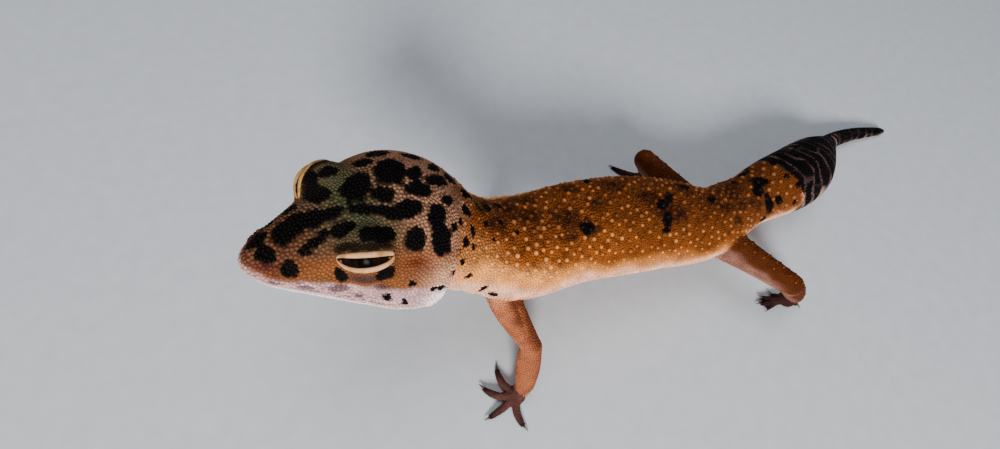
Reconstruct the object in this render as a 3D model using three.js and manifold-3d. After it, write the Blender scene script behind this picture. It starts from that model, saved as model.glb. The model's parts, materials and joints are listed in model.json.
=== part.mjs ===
// Leopard gecko (Eublepharis macularius), a life-size still model of a slim young adult in mid step.
// The snout points towards -X, the tail towards +X, and the animal's left side faces -Y.
// The head, neck, trunk and tail are one swept form, parted by thin cuts; limbs, jaw, eyes,
// ears and claws are solids of their own, cut back where they meet it.
import * as THREE from "three";
import { mergeVertices } from "three/addons/utils/BufferGeometryUtils.js";
import Module from "manifold-3d";

const wasm = await Module();
wasm.setup();

// ---------------------------------------------------------------- driving dimensions, millimetres
const CUT = 0.3; // width of the thin cuts between neighbours
const CLAW_LENGTH = 1.1;
const CLAW_RADII = [0.32, 0.27, 0.1];
const DIGIT = [1.0, 0.8, 0.72, 0.5]; // radii from the knuckle to the tip
const PALM_RISE = 1.0; // height of the middle of a palm over the floor

// The line through the middle of the body, from the snout to the tip of the tail.
const SPINE = [
  [-62.4, -9.4, 46.0], // snout
  [-54.9, -7.1, 42.4],
  [-46.9, -4.6, 38.6], // behind the eyes
  [-39.4, -3.1, 34.8], // back of the skull
  [-33.6, -4.1, 31.2],
  [-28.0, -4.9, 27.6], // neck
  [-21.0, -4.3, 23.8], // shoulders
  [-8.0, -1.9, 20.2],
  [8.0, -1.4, 17.2],
  [24.0, -2.9, 14.6], // hips
  [36.5, 0.3, 12.4], // root of the tail
  [48.5, 3.7, 10.2],
  [62.0, 7.4, 8.4], // fat store of the tail
  [75.0, 13.8, 6.4],
  [86.5, 18.6, 3.6], // waist of the tail
  [97.5, 20.6, 1.9],
  [110.6, 20.6, 1.0], // tip
].map((p) => new THREE.Vector3(...p));
const spine = new THREE.CatmullRomCurve3(SPINE, false, "centripetal");
spine.arcLengthDivisions = 800;

// Sections along the spine: station, half width, reach above and below the line, squareness.
// Stations count evenly along the line from the snout; one is a little over a millimetre.
const SECTIONS = [
  [0.0, 1.7, 1.3, 1.4, 2.0],
  [0.8, 2.9, 2.2, 2.4, 2.1],
  [2.3, 4.0, 3.2, 3.3, 2.3],
  [5.0, 5.1, 4.3, 4.5, 2.4],
  [8.5, 6.9, 6.0, 5.9, 2.4],
  [12.4, 9.4, 8.6, 7.2, 2.4],
  [16.6, 11.5, 10.3, 8.3, 2.4],
  [20.7, 12.5, 10.6, 8.9, 2.3],
  [24.2, 12.0, 9.9, 8.3, 2.2],
  [27.5, 10.3, 8.0, 7.6, 2.1],
  [31.0, 8.8, 6.9, 7.5, 2.0],
  [36.0, 8.5, 6.9, 7.6, 2.0],
  [42.0, 9.7, 7.6, 8.4, 2.0],
  [54.0, 10.2, 8.0, 8.9, 2.0],
  [70.0, 10.8, 8.2, 8.8, 2.0],
  [84.0, 9.6, 7.4, 7.6, 2.0],
  [93.0, 7.5, 6.5, 6.5, 2.0],
  [101.0, 6.7, 6.0, 6.0, 2.0],
  [106.0, 6.4, 5.8, 5.8, 2.0],
  [114.0, 7.3, 6.6, 6.6, 2.0],
  [122.0, 8.0, 7.2, 7.4, 2.0],
  [131.0, 7.7, 6.9, 7.2, 2.0],
  [139.0, 6.0, 5.4, 5.6, 2.0],
  [145.0, 4.0, 3.8, 3.8, 2.0],
  [150.0, 2.4, 2.3, 2.3, 2.0],
  [160.0, 1.8, 1.7, 1.6, 2.0],
  [168.0, 1.4, 1.3, 1.3, 2.0],
  [177.0, 0.6, 0.6, 0.6, 2.0],
];
const STATION_END = SECTIONS.at(-1)[0];

// Where the column is parted, as stations.
const PARTINGS = {
  head: [0, 32.5],
  neck: [32.5, 43.0],
  trunk: [43.0, 98.0],
  tail_base: [98.0, 110.0],
  tail_bulb: [110.0, 150.5],
  tail_tip: [150.5, STATION_END],
};
const HEAD_TILT = 5; // degrees that the left side of the head is raised, fading out along the neck
const RINGS = { head: 16, neck: 5, trunk: 12, tail_base: 4, tail_bulb: 12, tail_tip: 7 };
const SIDES = 20;

// ---------------------------------------------------------------- helpers
const UP = new THREE.Vector3(0, 0, 1);
const radians = THREE.MathUtils.degToRad;

// A smooth curve through the rows of a table, read at x.
function readTable(table, x, column) {
  let i = 0;
  while (i < table.length - 2 && x > table[i + 1][0]) i++;
  const row = (k) => table[Math.min(table.length - 1, Math.max(0, k))];
  const slope = (k) => {
    const [a, b] = [row(k - 1), row(k + 1)];
    return (b[column] - a[column]) / (b[0] - a[0]);
  };
  const [a, b] = [row(i), row(i + 1)];
  const span = b[0] - a[0];
  const t = Math.min(1, Math.max(0, (x - a[0]) / span));
  const [t2, t3] = [t * t, t * t * t];
  return (
    (2 * t3 - 3 * t2 + 1) * a[column] +
    (t3 - 2 * t2 + t) * span * slope(i) +
    (3 * t2 - 2 * t3) * b[column] +
    (t3 - t2) * span * slope(i + 1)
  );
}

// The middle of the body and its left, up and forward directions at a station.
function spineFrame(station) {
  const u = Math.min(1, Math.max(0, station / STATION_END));
  const forward = spine.getTangentAt(u).negate();
  const tilt = radians(HEAD_TILT * (1 - THREE.MathUtils.smoothstep(station, 24, 44)));
  const left = new THREE.Vector3().crossVectors(UP, forward).normalize().applyAxisAngle(forward, tilt);
  const up = new THREE.Vector3().crossVectors(forward, left);
  return { centre: spine.getPointAt(u), left, up, forward };
}

const power = (v, p) => Math.sign(v) * Math.abs(v) ** p;

// A point in the body's section; reach 1 is on the surface, and grow swells it by that many millimetres.
function bodyPoint(station, angle, reach = 1, grow = 0) {
  const { centre, left, up } = spineFrame(station);
  const [half, above, below, square] = [1, 2, 3, 4].map((c) => readTable(SECTIONS, station, c));
  const across = power(Math.cos(angle), 2 / square) * (half + grow);
  const rise = power(Math.sin(angle), 2 / square) * ((Math.sin(angle) > 0 ? above : below) + grow);
  return centre.addScaledVector(left, across * reach).addScaledVector(up, rise * reach);
}

// A closed cylinder whose every vertex is put where place(share of the length, angle, reach) says.
function sweep(sides, steps, place) {
  const g = new THREE.CylinderGeometry(1, 1, 1, sides, steps);
  g.deleteAttribute("normal");
  g.deleteAttribute("uv");
  const merged = mergeVertices(g, 1e-4);
  const at = merged.attributes.position;
  for (let i = 0; i < at.count; i++) {
    const [x, y, z] = [at.getX(i), at.getY(i), at.getZ(i)];
    const p = place(0.5 - y, Math.atan2(z, x), Math.hypot(x, z));
    at.setXYZ(i, p.x, p.y, p.z);
  }
  return merged;
}

// A closed geometry as a manifold-3d solid, and back again.
function solidOf(geometry) {
  const g = geometry.clone();
  g.deleteAttribute("normal");
  g.deleteAttribute("uv");
  const merged = mergeVertices(g, 1e-4);
  const made = new wasm.Manifold(
    new wasm.Mesh({
      numProp: 3,
      vertProperties: Float32Array.from(merged.attributes.position.array),
      triVerts: Uint32Array.from(merged.index.array),
    }),
  );
  if (made.volume() > 0) return made;
  const turned = Uint32Array.from(merged.index.array);
  for (let i = 0; i < turned.length; i += 3) [turned[i], turned[i + 1]] = [turned[i + 1], turned[i]];
  return new wasm.Manifold(
    new wasm.Mesh({
      numProp: 3,
      vertProperties: Float32Array.from(merged.attributes.position.array),
      triVerts: turned,
    }),
  );
}

function geometryOf(solid) {
  const mesh = solid.getMesh();
  const flat = new Float32Array(mesh.numVert * 3);
  for (let i = 0; i < mesh.numVert; i++) {
    flat.set(mesh.vertProperties.subarray(i * mesh.numProp, i * mesh.numProp + 3), i * 3);
  }
  return new THREE.BufferGeometry()
    .setAttribute("position", new THREE.BufferAttribute(flat, 3))
    .setIndex(new THREE.BufferAttribute(Uint32Array.from(mesh.triVerts), 1));
}

// The largest piece of a solid, without slivers that a cut may leave.
function mainPiece(solid) {
  return solid.decompose().sort((a, b) => b.volume() - a.volume())[0];
}

// One length of the body column between two stations, swollen by grow; its rings crowd towards
// the start when the crowding is over 1.
function column(from, to, rings, grow = 0, crowding = 1) {
  return solidOf(
    sweep(SIDES, rings, (share, angle, reach) => {
      const station = from + (to - from) * share ** crowding;
      return bodyPoint(station, angle, reach, grow);
    }),
  );
}

// A round tube through points, with a table of radii spread along it.
function tube(points, radii, sides, steps) {
  const curve = new THREE.CatmullRomCurve3(points, false, "centripetal");
  const table = radii.map((r, i) => [i / (radii.length - 1), r]);
  return sweep(sides, steps, (share, angle, reach) => {
    const along = curve.getTangentAt(share);
    const across = Math.abs(along.z) > 0.95 ? new THREE.Vector3(0, 1, 0) : UP;
    const side = new THREE.Vector3().crossVectors(across, along).normalize();
    const up = new THREE.Vector3().crossVectors(along, side);
    const radius = readTable(table, share, 1) * reach;
    return curve.getPointAt(share)
      .addScaledVector(side, Math.cos(angle) * radius)
      .addScaledVector(up, Math.sin(angle) * radius);
  });
}

const ellipsoid = (centre, radii, turn = new THREE.Quaternion(), across = 16, down = 10) =>
  new THREE.SphereGeometry(1, across, down).applyMatrix4(new THREE.Matrix4().compose(centre, turn, radii));

const vector = (x, y, z) => new THREE.Vector3(x, y, z);

// The floor, as a thick block whose top face is at z = 0.
const floorBlock = solidOf(new THREE.BoxGeometry(400, 400, 40).translate(0, 0, -20));

// ---------------------------------------------------------------- colours
const finish = (color, roughness) => new THREE.MeshStandardMaterial({ color, roughness, metalness: 0 });
const HEAD_SKIN = finish(0x9a6a3c, 0.6);
const BODY_SKIN = finish(0xb9722b, 0.6);
const TAIL_SKIN = finish(0x2b2320, 0.6);
const LIMB_SKIN = finish(0xb5774a, 0.6);
const FOOT_SKIN = finish(0x5d3f3a, 0.6);
const EYE = finish(0x120e0c, 0.1);
const CLAW = finish(0x6b5c50, 0.4);

const gecko = new THREE.Group();
const solids = {};
function add(name, solid, material) {
  solids[name] = mainPiece(solid).simplify(0.02);
  const mesh = new THREE.Mesh(geometryOf(solids[name]), material);
  mesh.name = name;
  gecko.add(mesh);
}

// ---------------------------------------------------------------- head
const EYE_AT = 12.1; // station of the eyes
const EYE_OUT = 5.8; // from the middle plane
const EYE_RISE = 4.1; // above the spine line
const EYE_RADIUS = 3.8;
const LID = 0.45; // thickness of the lids over the eyeball
const BROW_RADIUS = EYE_RADIUS + LID; // of the ball of flesh over each eye
const LID_GAP = [3.5, 3.0, 1.1]; // half length, depth and half height of the gap between the lids
const LID_GAP_RISE = 1.5; // above the middle of the eyeball

function headPoint(station, out, rise) {
  const { centre, left, up } = spineFrame(station);
  return centre.addScaledVector(left, out).addScaledVector(up, rise);
}
function headTurn(station) {
  const { left, up, forward } = spineFrame(station);
  return new THREE.Quaternion().setFromRotationMatrix(new THREE.Matrix4().makeBasis(forward, left, up));
}

const parting = (name) => {
  const [from, to] = PARTINGS[name];
  return [from + (from > 0 ? CUT / 2 : 0), to - (to < STATION_END ? CUT / 2 : 0)];
};
let head = column(...parting("head"), RINGS.head, 0, 1.4);
const turn = headTurn(EYE_AT);
const eyeballs = {};
for (const [side, sign] of [["left", 1], ["right", -1]]) {
  const at = headPoint(EYE_AT, sign * EYE_OUT, EYE_RISE);
  head = head.add(solidOf(ellipsoid(at, vector(1, 1, 1).multiplyScalar(BROW_RADIUS), turn, 12, 8)));
  eyeballs[side] = at;
}
for (const [side, sign] of [["left", 1], ["right", -1]]) {
  const at = eyeballs[side];
  const socket = ellipsoid(at, vector(1, 1, 1).multiplyScalar(EYE_RADIUS + CUT), turn, 12, 7);
  head = head.subtract(solidOf(socket));
  // The opening between the lids, longer than high, cut straight in from the side.
  const gapAt = headPoint(EYE_AT, sign * (EYE_OUT + EYE_RADIUS + 0.7), EYE_RISE + LID_GAP_RISE);
  head = head.subtract(solidOf(ellipsoid(gapAt, vector(...LID_GAP), turn, 12, 6)));
  add(`eye_${side}`, solidOf(ellipsoid(at, vector(1, 1, 1).multiplyScalar(EYE_RADIUS), turn, 12, 8)), EYE);
}

// Ear openings: upright slits behind the jaw, each with its drum inside.
const EAR_AT = 27.6;
const EAR_OUT = 11.0;
const EAR_RISE = -0.6;
for (const [side, sign] of [["left", 1], ["right", -1]]) {
  const slot = ellipsoid(headPoint(EAR_AT, sign * EAR_OUT, EAR_RISE), vector(1.15, 2.6, 2.2), turn, 10, 6);
  head = head.subtract(solidOf(slot));
  const drumAt = headPoint(EAR_AT, sign * (EAR_OUT - 1.2), EAR_RISE);
  const drum = ellipsoid(drumAt, vector(0.5, 0.35, 1.1), turn, 7, 4);
  add(`ear_${side}`, solidOf(drum), FOOT_SKIN);
}

// The lower jaw is the part of the head under the mouth line, back to the corner of the mouth.
const MOUTH_CORNER = 21.5;
function jawBlock(grow) {
  const side = new THREE.Shape();
  side.moveTo(5, -1.35 - grow);
  side.lineTo(-6, -1.5 - grow);
  side.lineTo(-16, -2.6 - grow);
  side.lineTo(-MOUTH_CORNER + grow, -2.2 - grow);
  side.lineTo(-MOUTH_CORNER - 1.5 + grow, -14);
  side.lineTo(5, -14);
  const block = new THREE.ExtrudeGeometry(side, { depth: 40, bevelEnabled: false });
  // The shape lies in the plane of the head's forward and up directions, and its depth runs across.
  const { centre, left, up, forward } = spineFrame(0.5);
  const place = new THREE.Matrix4().makeBasis(forward, up, left.clone().negate());
  place.setPosition(centre.addScaledVector(left, 20));
  return solidOf(block.applyMatrix4(place));
}
add("lower_jaw", head.intersect(jawBlock(CUT / 2)), HEAD_SKIN);
add("head", head.subtract(jawBlock(-CUT / 2)), HEAD_SKIN);

// ---------------------------------------------------------------- neck, trunk and tail
for (const name of ["neck", "trunk", "tail_base", "tail_bulb", "tail_tip"]) {
  const skin = name.startsWith("tail_b") || name === "tail_tip" ? TAIL_SKIN : BODY_SKIN;
  add(name, column(...parting(name), RINGS[name]).subtract(floorBlock), skin);
}
const torso = column(33, 112, 26, CUT);

// ---------------------------------------------------------------- limbs
// Each limb runs through its joints; a finger or toe leaves the palm at a heading in the floor's plane.
const ARM = { upper: [3.6, 2.3, 2.1], joint: 2.2, lower: [2.2, 2.5, 2.0], palm: 2.1, wrist: 1.8 };
const LEG = { upper: [4.4, 3.3, 2.6], joint: 2.6, lower: [2.5, 2.5, 1.8], palm: 2.2, wrist: 1.8 };
const LIMBS = {
  left_front: {
    joints: [[-26.4, -7.0, 21.5], [-21.9, -20.2, 13.2], [-22.9, -25.3, 3.8]],
    build: ARM,
    parts: ["upper_arm_left", "forearm_left", "hand_left"],
    palm: [-24.4, -26.2],
    heading: 190,
    spread: [-78, -36, 13, 78, 190],
    lengths: [6.4, 6.8, 7.0, 6.0, 3.6],
    bows: [0.9, 1.0, 0.3, -0.8, -0.3],
  },
  right_front: {
    joints: [[-22, 0, 20.5], [-12.5, 10.0, 12.6], [-17.6, 14.2, 3.8]],
    build: ARM,
    parts: ["upper_arm_right", "forearm_right", "hand_right"],
    palm: [-18.6, 14.8],
    heading: 168,
    spread: [72, 34, 0, -34, -70],
    lengths: [4.6, 5.6, 6.0, 5.2, 4.2],
    bows: [-0.5, -0.6, 0.2, 0.6, 0.5],
  },
  left_hind: {
    joints: [[27, -6.5, 12.8], [38.9, -20.8, 12.6], [47.2, -21.6, 3.2]],
    build: LEG,
    parts: ["thigh_left", "shank_left", "foot_left"],
    palm: [46.2, -21.4],
    heading: 173,
    spread: [-30, -12, 2, 17, 150],
    lengths: [3.4, 6.0, 6.9, 5.8, 3.0],
    bows: [0.4, 0.5, 0.3, -0.5, 0.3],
  },
  right_hind: {
    joints: [[25, -1, 14], [18.0, 15.4, 14.4], [25.8, 17.6, 3.2]],
    build: LEG,
    parts: ["thigh_right", "shank_right", "foot_right"],
    palm: [25.0, 18.2],
    heading: 165,
    spread: [62, 36, 10, -21, -92],
    lengths: [4.6, 5.8, 7.0, 8.8, 3.6],
    bows: [-0.4, -0.5, 0.4, 0.7, 0.4],
  },
};

// A block with one face through a point, filling the side that its direction looks to.
function halfSpace(point, direction, offset) {
  const look = new THREE.Quaternion().setFromUnitVectors(UP, direction);
  const block = new THREE.BoxGeometry(120, 120, 60).translate(0, 0, 30 + offset);
  return solidOf(block.applyMatrix4(new THREE.Matrix4().compose(point, look, vector(1, 1, 1))));
}

function buildLimb({ joints, build, parts, palm, heading, spread, lengths, bows }) {
  const [root, middle, end] = joints.map((p) => vector(...p));
  const along = (a, b, t) => a.clone().lerp(b, t);
  const bone = (a, b, radii, grow = 0) =>
    solidOf(tube([a, along(a, b, 0.5), b], radii.map((r) => r + grow), 10, 4));
  const [upperName, lowerName, footName] = parts;
  const whole = bone(root, middle, build.upper)
    .add(bone(middle, end, build.lower))
    .add(solidOf(ellipsoid(middle, vector(1, 1, 1).multiplyScalar(build.joint), undefined, 10, 6)))
    .subtract(torso)
    .subtract(floorBlock);
  const inward = middle.clone().sub(root).normalize();
  const outward = end.clone().sub(middle).normalize();
  const bend = inward.add(outward).normalize();
  const upper = whole.subtract(halfSpace(middle, bend, -CUT / 2));
  const lower = whole.intersect(halfSpace(middle, bend, CUT / 2));

  const sole = vector(palm[0], palm[1], PALM_RISE);
  let foot = solidOf(ellipsoid(sole, vector(build.palm, build.palm, PALM_RISE + 0.3), undefined, 12, 6));
  const ankle = [end, along(end, sole, 0.6), sole];
  foot = foot.add(solidOf(tube(ankle, [build.wrist, build.wrist, 1.2], 8, 2)));
  const claws = [];
  spread.forEach((fan, i) => {
    const away = radians(heading + fan);
    const reach = vector(Math.cos(away), Math.sin(away), 0);
    const side = vector(-Math.sin(away), Math.cos(away), 0);
    const long = lengths[i];
    const bowAt = (d) => bows[i] * (1 - (2 * d / long - 1) ** 2);
    const point = (d, z) => sole.clone().setZ(z).addScaledVector(reach, d).addScaledVector(side, bowAt(d));
    const line = [point(0.6, 1.1), point(long * 0.5, 0.95), point(long * 0.85, 0.6), point(long, 0.45)];
    foot = foot.add(solidOf(tube(line, DIGIT, 6, 3)));
    const end = long + CLAW_LENGTH;
    const tip = [point(long + 0.1, 0.48), point(long + CLAW_LENGTH * 0.6, 0.5), point(end, 0.2)];
    claws.push([`claw_${footName}_${i + 1}`, solidOf(tube(tip, CLAW_RADII, 5, 2))]);
  });
  foot = foot.subtract(floorBlock);
  foot = foot.subtract(bone(middle, end, build.lower, CUT));
  add(upperName, upper, LIMB_SKIN);
  add(lowerName, lower, LIMB_SKIN);
  add(footName, foot, FOOT_SKIN);
  for (const [name, claw] of claws) add(name, claw.subtract(floorBlock), CLAW);
}
Object.values(LIMBS).forEach(buildLimb);

// ---------------------------------------------------------------- origin in the middle of the box
const box = new THREE.Box3().setFromObject(gecko);
const middle = box.getCenter(new THREE.Vector3());
gecko.position.set(-middle.x, -middle.y, -box.min.z);

export default gecko;
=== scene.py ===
# %% [markdown]
# # A leopard gecko, life size
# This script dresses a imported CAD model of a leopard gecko. The CAD model is the frame: it says where
# every part of the animal is. Here it gets a skin without seams, a coat of scales, lids, eyes and claws.
# The animal looks towards -X, its left side faces -Y, and it stands on the floor at Z = 0.
# Lengths in the tables are millimetres, because a gecko is small, and become metres in one place.

# %% Load the frame
import json
import math

import bmesh
import bpy
import numpy as np
from mathutils import Matrix, Vector, kdtree
from mathutils.bvhtree import BVHTree

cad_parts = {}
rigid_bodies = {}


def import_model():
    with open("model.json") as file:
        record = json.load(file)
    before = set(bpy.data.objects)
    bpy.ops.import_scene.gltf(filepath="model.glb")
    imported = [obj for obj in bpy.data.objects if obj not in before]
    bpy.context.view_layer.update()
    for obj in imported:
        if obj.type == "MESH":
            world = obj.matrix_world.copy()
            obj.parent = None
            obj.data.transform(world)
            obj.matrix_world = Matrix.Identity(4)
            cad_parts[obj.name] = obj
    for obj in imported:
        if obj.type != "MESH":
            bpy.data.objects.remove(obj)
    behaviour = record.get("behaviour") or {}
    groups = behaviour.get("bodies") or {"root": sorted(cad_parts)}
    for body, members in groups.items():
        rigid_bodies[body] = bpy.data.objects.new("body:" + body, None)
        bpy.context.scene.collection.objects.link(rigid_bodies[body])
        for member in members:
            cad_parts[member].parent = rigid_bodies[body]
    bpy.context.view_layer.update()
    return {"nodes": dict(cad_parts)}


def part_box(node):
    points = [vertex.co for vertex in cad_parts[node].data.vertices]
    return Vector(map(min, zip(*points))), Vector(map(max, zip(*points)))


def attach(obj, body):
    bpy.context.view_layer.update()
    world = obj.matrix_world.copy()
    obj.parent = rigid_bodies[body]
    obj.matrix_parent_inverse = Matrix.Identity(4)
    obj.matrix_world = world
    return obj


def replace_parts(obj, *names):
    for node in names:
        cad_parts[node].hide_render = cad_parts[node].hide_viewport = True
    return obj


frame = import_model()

MM = 0.001

# %% [markdown]
# ## The line through the body
# A lizard's body is a tube with a bent axis, so two tables describe it: the points that its axis passes
# through, and the size of its section at a number of stations. A Catmull-Rom curve passes through every
# point without corners, which is why it is used here and not a Bezier curve with handles to set.

# %% The axis, from the snout to the tip of the tail
SPINE = np.array([
    [-62.4, -9.4, 46.0],  # snout
    [-54.9, -7.1, 42.4],
    [-46.9, -4.6, 38.6],  # behind the eyes
    [-39.4, -3.1, 34.8],  # back of the skull
    [-33.6, -4.1, 31.2],
    [-28.0, -4.9, 27.6],  # neck
    [-21.0, -4.3, 23.8],  # shoulders
    [-8.0, -1.9, 20.2],
    [8.0, -1.4, 17.2],
    [24.0, -2.9, 14.6],  # hips
    [36.5, 0.3, 12.4],  # root of the tail
    [48.5, 3.7, 10.2],
    [62.0, 7.4, 8.4],  # fat store of the tail
    [75.0, 13.8, 6.4],
    [86.5, 18.6, 3.6],  # waist of the tail
    [97.5, 20.6, 1.9],
    [110.6, 20.6, 1.0],  # tip
])


def smooth_line(points, samples=80):
    """A centripetal Catmull-Rom curve through the points, as rows that lie evenly along its length."""
    ends = [2 * points[0] - points[1], 2 * points[-1] - points[-2]]
    knots = np.vstack([ends[0], points, ends[1]])
    t = np.linspace(0, 1, samples, endpoint=False)[:, None]
    rows = []
    for before, start, end, after in zip(knots, knots[1:], knots[2:], knots[3:]):
        gaps = [np.sqrt(np.linalg.norm(b - a)) for a, b in ((before, start), (start, end), (end, after))]
        leave = gaps[1] * ((start - before) / gaps[0] - (end - before) / (gaps[0] + gaps[1])
                           + (end - start) / gaps[1])
        arrive = gaps[1] * ((end - start) / gaps[1] - (after - start) / (gaps[1] + gaps[2])
                            + (after - end) / gaps[2])
        rows.append((2 * t**3 - 3 * t**2 + 1) * start + (t**3 - 2 * t**2 + t) * leave
                    + (3 * t**2 - 2 * t**3) * end + (t**3 - t**2) * arrive)
    curve = np.vstack(rows + [points[-1:]])
    length = np.concatenate([[0], np.cumsum(np.linalg.norm(np.diff(curve, axis=0), axis=1))])
    even = np.linspace(0, length[-1], len(curve))
    return np.stack([np.interp(even, length, curve[:, i]) for i in range(3)], axis=1)


axis_points = smooth_line(SPINE)
print("The axis has", len(axis_points), "rows")

# %% Sections: station, half width, reach above and below the axis, squareness
SECTIONS = np.array([
    [0.0, 1.1, 0.8, 1.1, 2.0],
    [0.8, 2.3, 1.6, 2.1, 2.0],
    [2.3, 3.5, 2.6, 3.1, 2.1],
    [5.0, 4.9, 4.1, 4.4, 2.3],
    [8.5, 6.9, 6.0, 5.9, 2.4],
    [12.4, 9.4, 8.6, 7.2, 2.4],
    [16.6, 11.5, 10.3, 8.1, 2.4],
    [20.7, 12.5, 10.6, 8.5, 2.3],
    [24.2, 12.0, 9.9, 8.0, 2.2],
    [27.5, 10.3, 8.0, 7.6, 2.1],
    [31.0, 8.8, 6.9, 7.5, 2.0],
    [36.0, 8.5, 6.9, 7.6, 2.0],
    [42.0, 9.7, 7.6, 8.4, 2.0],
    [54.0, 10.2, 8.0, 8.9, 2.0],
    [70.0, 10.8, 8.2, 8.8, 2.0],
    [84.0, 9.6, 7.4, 7.6, 2.0],
    [93.0, 7.5, 6.5, 6.5, 2.0],
    [101.0, 6.7, 6.0, 6.0, 2.0],
    [106.0, 6.4, 5.8, 5.8, 2.0],
    [114.0, 7.3, 6.6, 6.6, 2.0],
    [122.0, 8.0, 7.2, 7.4, 2.0],
    [131.0, 7.7, 6.9, 7.2, 2.0],
    [139.0, 6.0, 5.4, 5.6, 2.0],
    [145.0, 4.0, 3.8, 3.8, 2.0],
    [150.0, 2.6, 2.5, 2.3, 2.0],
    [160.0, 2.2, 2.1, 1.7, 2.0],
    [168.0, 1.9, 1.7, 1.3, 2.0],
    [175.0, 1.4, 1.2, 0.8, 2.0],
    [177.0, 0.8, 0.7, 0.6, 2.0],
])
LAST_STATION = SECTIONS[-1, 0]
HEAD_TILT = 5  # degrees that the left side of the head is raised
HEAD_TILT_FADES = (24, 44)  # stations between which the tilt fades out


def ramp(x, low, high):
    """0 below low, 1 above high, and a smooth rise between."""
    t = np.clip((np.asarray(x, float) - low) / (high - low), 0, 1)
    return t * t * (3 - 2 * t)


def read_table(table, x):
    """The columns of a table, read smoothly at x, which is its first column."""
    stations, values = table[:, 0], table[:, 1:]
    x = np.clip(np.asarray(x, float), stations[0], stations[-1])
    i = np.clip(np.searchsorted(stations, x, "right") - 1, 0, len(stations) - 2)
    last = len(stations) - 1
    ahead, behind = np.minimum(np.arange(last + 1) + 1, last), np.maximum(np.arange(last + 1) - 1, 0)
    slopes = (values[ahead] - values[behind]) / (stations[ahead] - stations[behind])[:, None]
    span = (stations[i + 1] - stations[i])[..., None]
    t = (x - stations[i])[..., None] / span
    return ((2 * t**3 - 3 * t**2 + 1) * values[i] + (t**3 - 2 * t**2 + t) * span * slopes[i]
            + (3 * t**2 - 2 * t**3) * values[i + 1] + (t**3 - t**2) * span * slopes[i + 1])


def unit(v):
    """Vectors of length one."""
    return v / np.maximum(np.linalg.norm(v, axis=-1, keepdims=True), 1e-12)


def body_axes():
    """At every row of the axis: the directions towards the snout, the animal's left, and its back."""
    forward = -unit(np.gradient(axis_points, axis=0))
    stations = np.linspace(0, LAST_STATION, len(axis_points))
    left = unit(np.cross([0, 0, 1], forward))
    tilt = np.radians(HEAD_TILT * (1 - ramp(stations, *HEAD_TILT_FADES)))[:, None]
    left = np.cos(tilt) * left + np.sin(tilt) * np.cross(forward, left)
    return forward, left, np.cross(forward, left)


axis_forward, axis_left, axis_up = body_axes()


def axis_at(station):
    """The middle of the body and its forward, left and up directions at a station."""
    row = np.clip(np.asarray(station, float) / LAST_STATION, 0, 1) * (len(axis_points) - 1)
    rows = np.arange(len(axis_points))
    read = lambda table: np.stack([np.interp(row, rows, table[:, i]) for i in range(3)], axis=-1)
    return read(axis_points), unit(read(axis_forward)), unit(read(axis_left)), unit(read(axis_up))


def body_point(station, around, reach=1.0, grow=0.0):
    """A point of the section at a station, around from the middle of the back; left is positive."""
    centre, _, left, up = axis_at(station)
    half, above, below, square = np.moveaxis(read_table(SECTIONS, station), -1, 0)
    power = lambda v: np.sign(v) * np.abs(v) ** (2 / square)
    across = power(np.sin(around)) * (half + grow) * reach
    rise = power(np.cos(around)) * (np.where(np.cos(around) > 0, above, below) + grow) * reach
    return centre + left * across[..., None] + up * rise[..., None]


def head_point(station, out, rise):
    """A point beside the axis: out to the left and up, in millimetres."""
    centre, _, left, up = axis_at(station)
    return centre + left * out + up * rise


def head_turn(station):
    """The turn of the head at a station: its x looks forward, y left and z up."""
    _, forward, left, up = axis_at(station)
    return np.stack([forward, left, up], axis=1)


# %% [markdown]
# ## From the tables to the frame
# The tables were drawn round a point under the shoulders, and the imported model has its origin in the
# middle of its box. The left eye is a ball whose middle both know, so it gives the shift between them.

# %% The shift, measured on the left eye
EYE_STATION = 12.1
EYE_OUT = 5.8  # from the middle plane
EYE_RISE = 4.1  # above the axis
EYE_RADIUS = 3.8
eye_low, eye_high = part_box("eye_left")
SHIFT = np.array((eye_low + eye_high) / 2) / MM - head_point(EYE_STATION, EYE_OUT, EYE_RISE)
SHIFT = np.array([round(SHIFT[0], 2), round(SHIFT[1], 2), 0.0])
print("The tables are shifted by", SHIFT, "mm")


def placed(points):
    """Points of the tables, in millimetres, as places in the frame, in metres."""
    return (np.asarray(points) + SHIFT) * MM

# %% [markdown]
# ## The forms under the skin
# The flesh is first laid out as simple closed forms that pass through each other, as a sculptor packs
# clay on wire: one long tube for head, trunk and tail, a ball over each eye, two tubes and a ball for
# each limb, a muscle over each shoulder, a pad for each palm and a tube for each digit. Each form starts
# as a cone or a ball from bmesh, the cone is cut into rings, and every ring is then moved to its place
# on the tables. The forms are drawn in by the depth of the coat, so that the scales end about where the
# frame's surface is.

# %% Tubes and balls
COAT_DEPTH = 0.2  # millimetres that the scales stand over the skin
LEAN = [0.0, 0.3, 1.0]  # a direction that no limb lies along, from which the sides of its tubes are found
flesh = bmesh.new()


def add_tube(sides, rings, place, into=flesh):
    """A closed tube: place gives a point for a share of the length, an angle and a reach."""
    form = bmesh.new()
    bmesh.ops.create_cone(form, cap_ends=True, segments=sides, radius1=1, radius2=1, depth=1)
    long_edges = [e for e in form.edges if abs(e.verts[0].co.z - e.verts[1].co.z) > 0.5]
    bmesh.ops.subdivide_edges(form, edges=long_edges, cuts=rings - 1, use_grid_fill=True)
    at = np.array([v.co for v in form.verts])
    points = place(at[:, 2] + 0.5, np.arctan2(at[:, 1], at[:, 0]), np.hypot(at[:, 0], at[:, 1]))
    for vert, point in zip(form.verts, points):
        vert.co = point
    mesh = bpy.data.meshes.new("form")
    form.to_mesh(mesh)
    into.from_mesh(mesh)
    form.free()
    bpy.data.meshes.remove(mesh)


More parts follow.
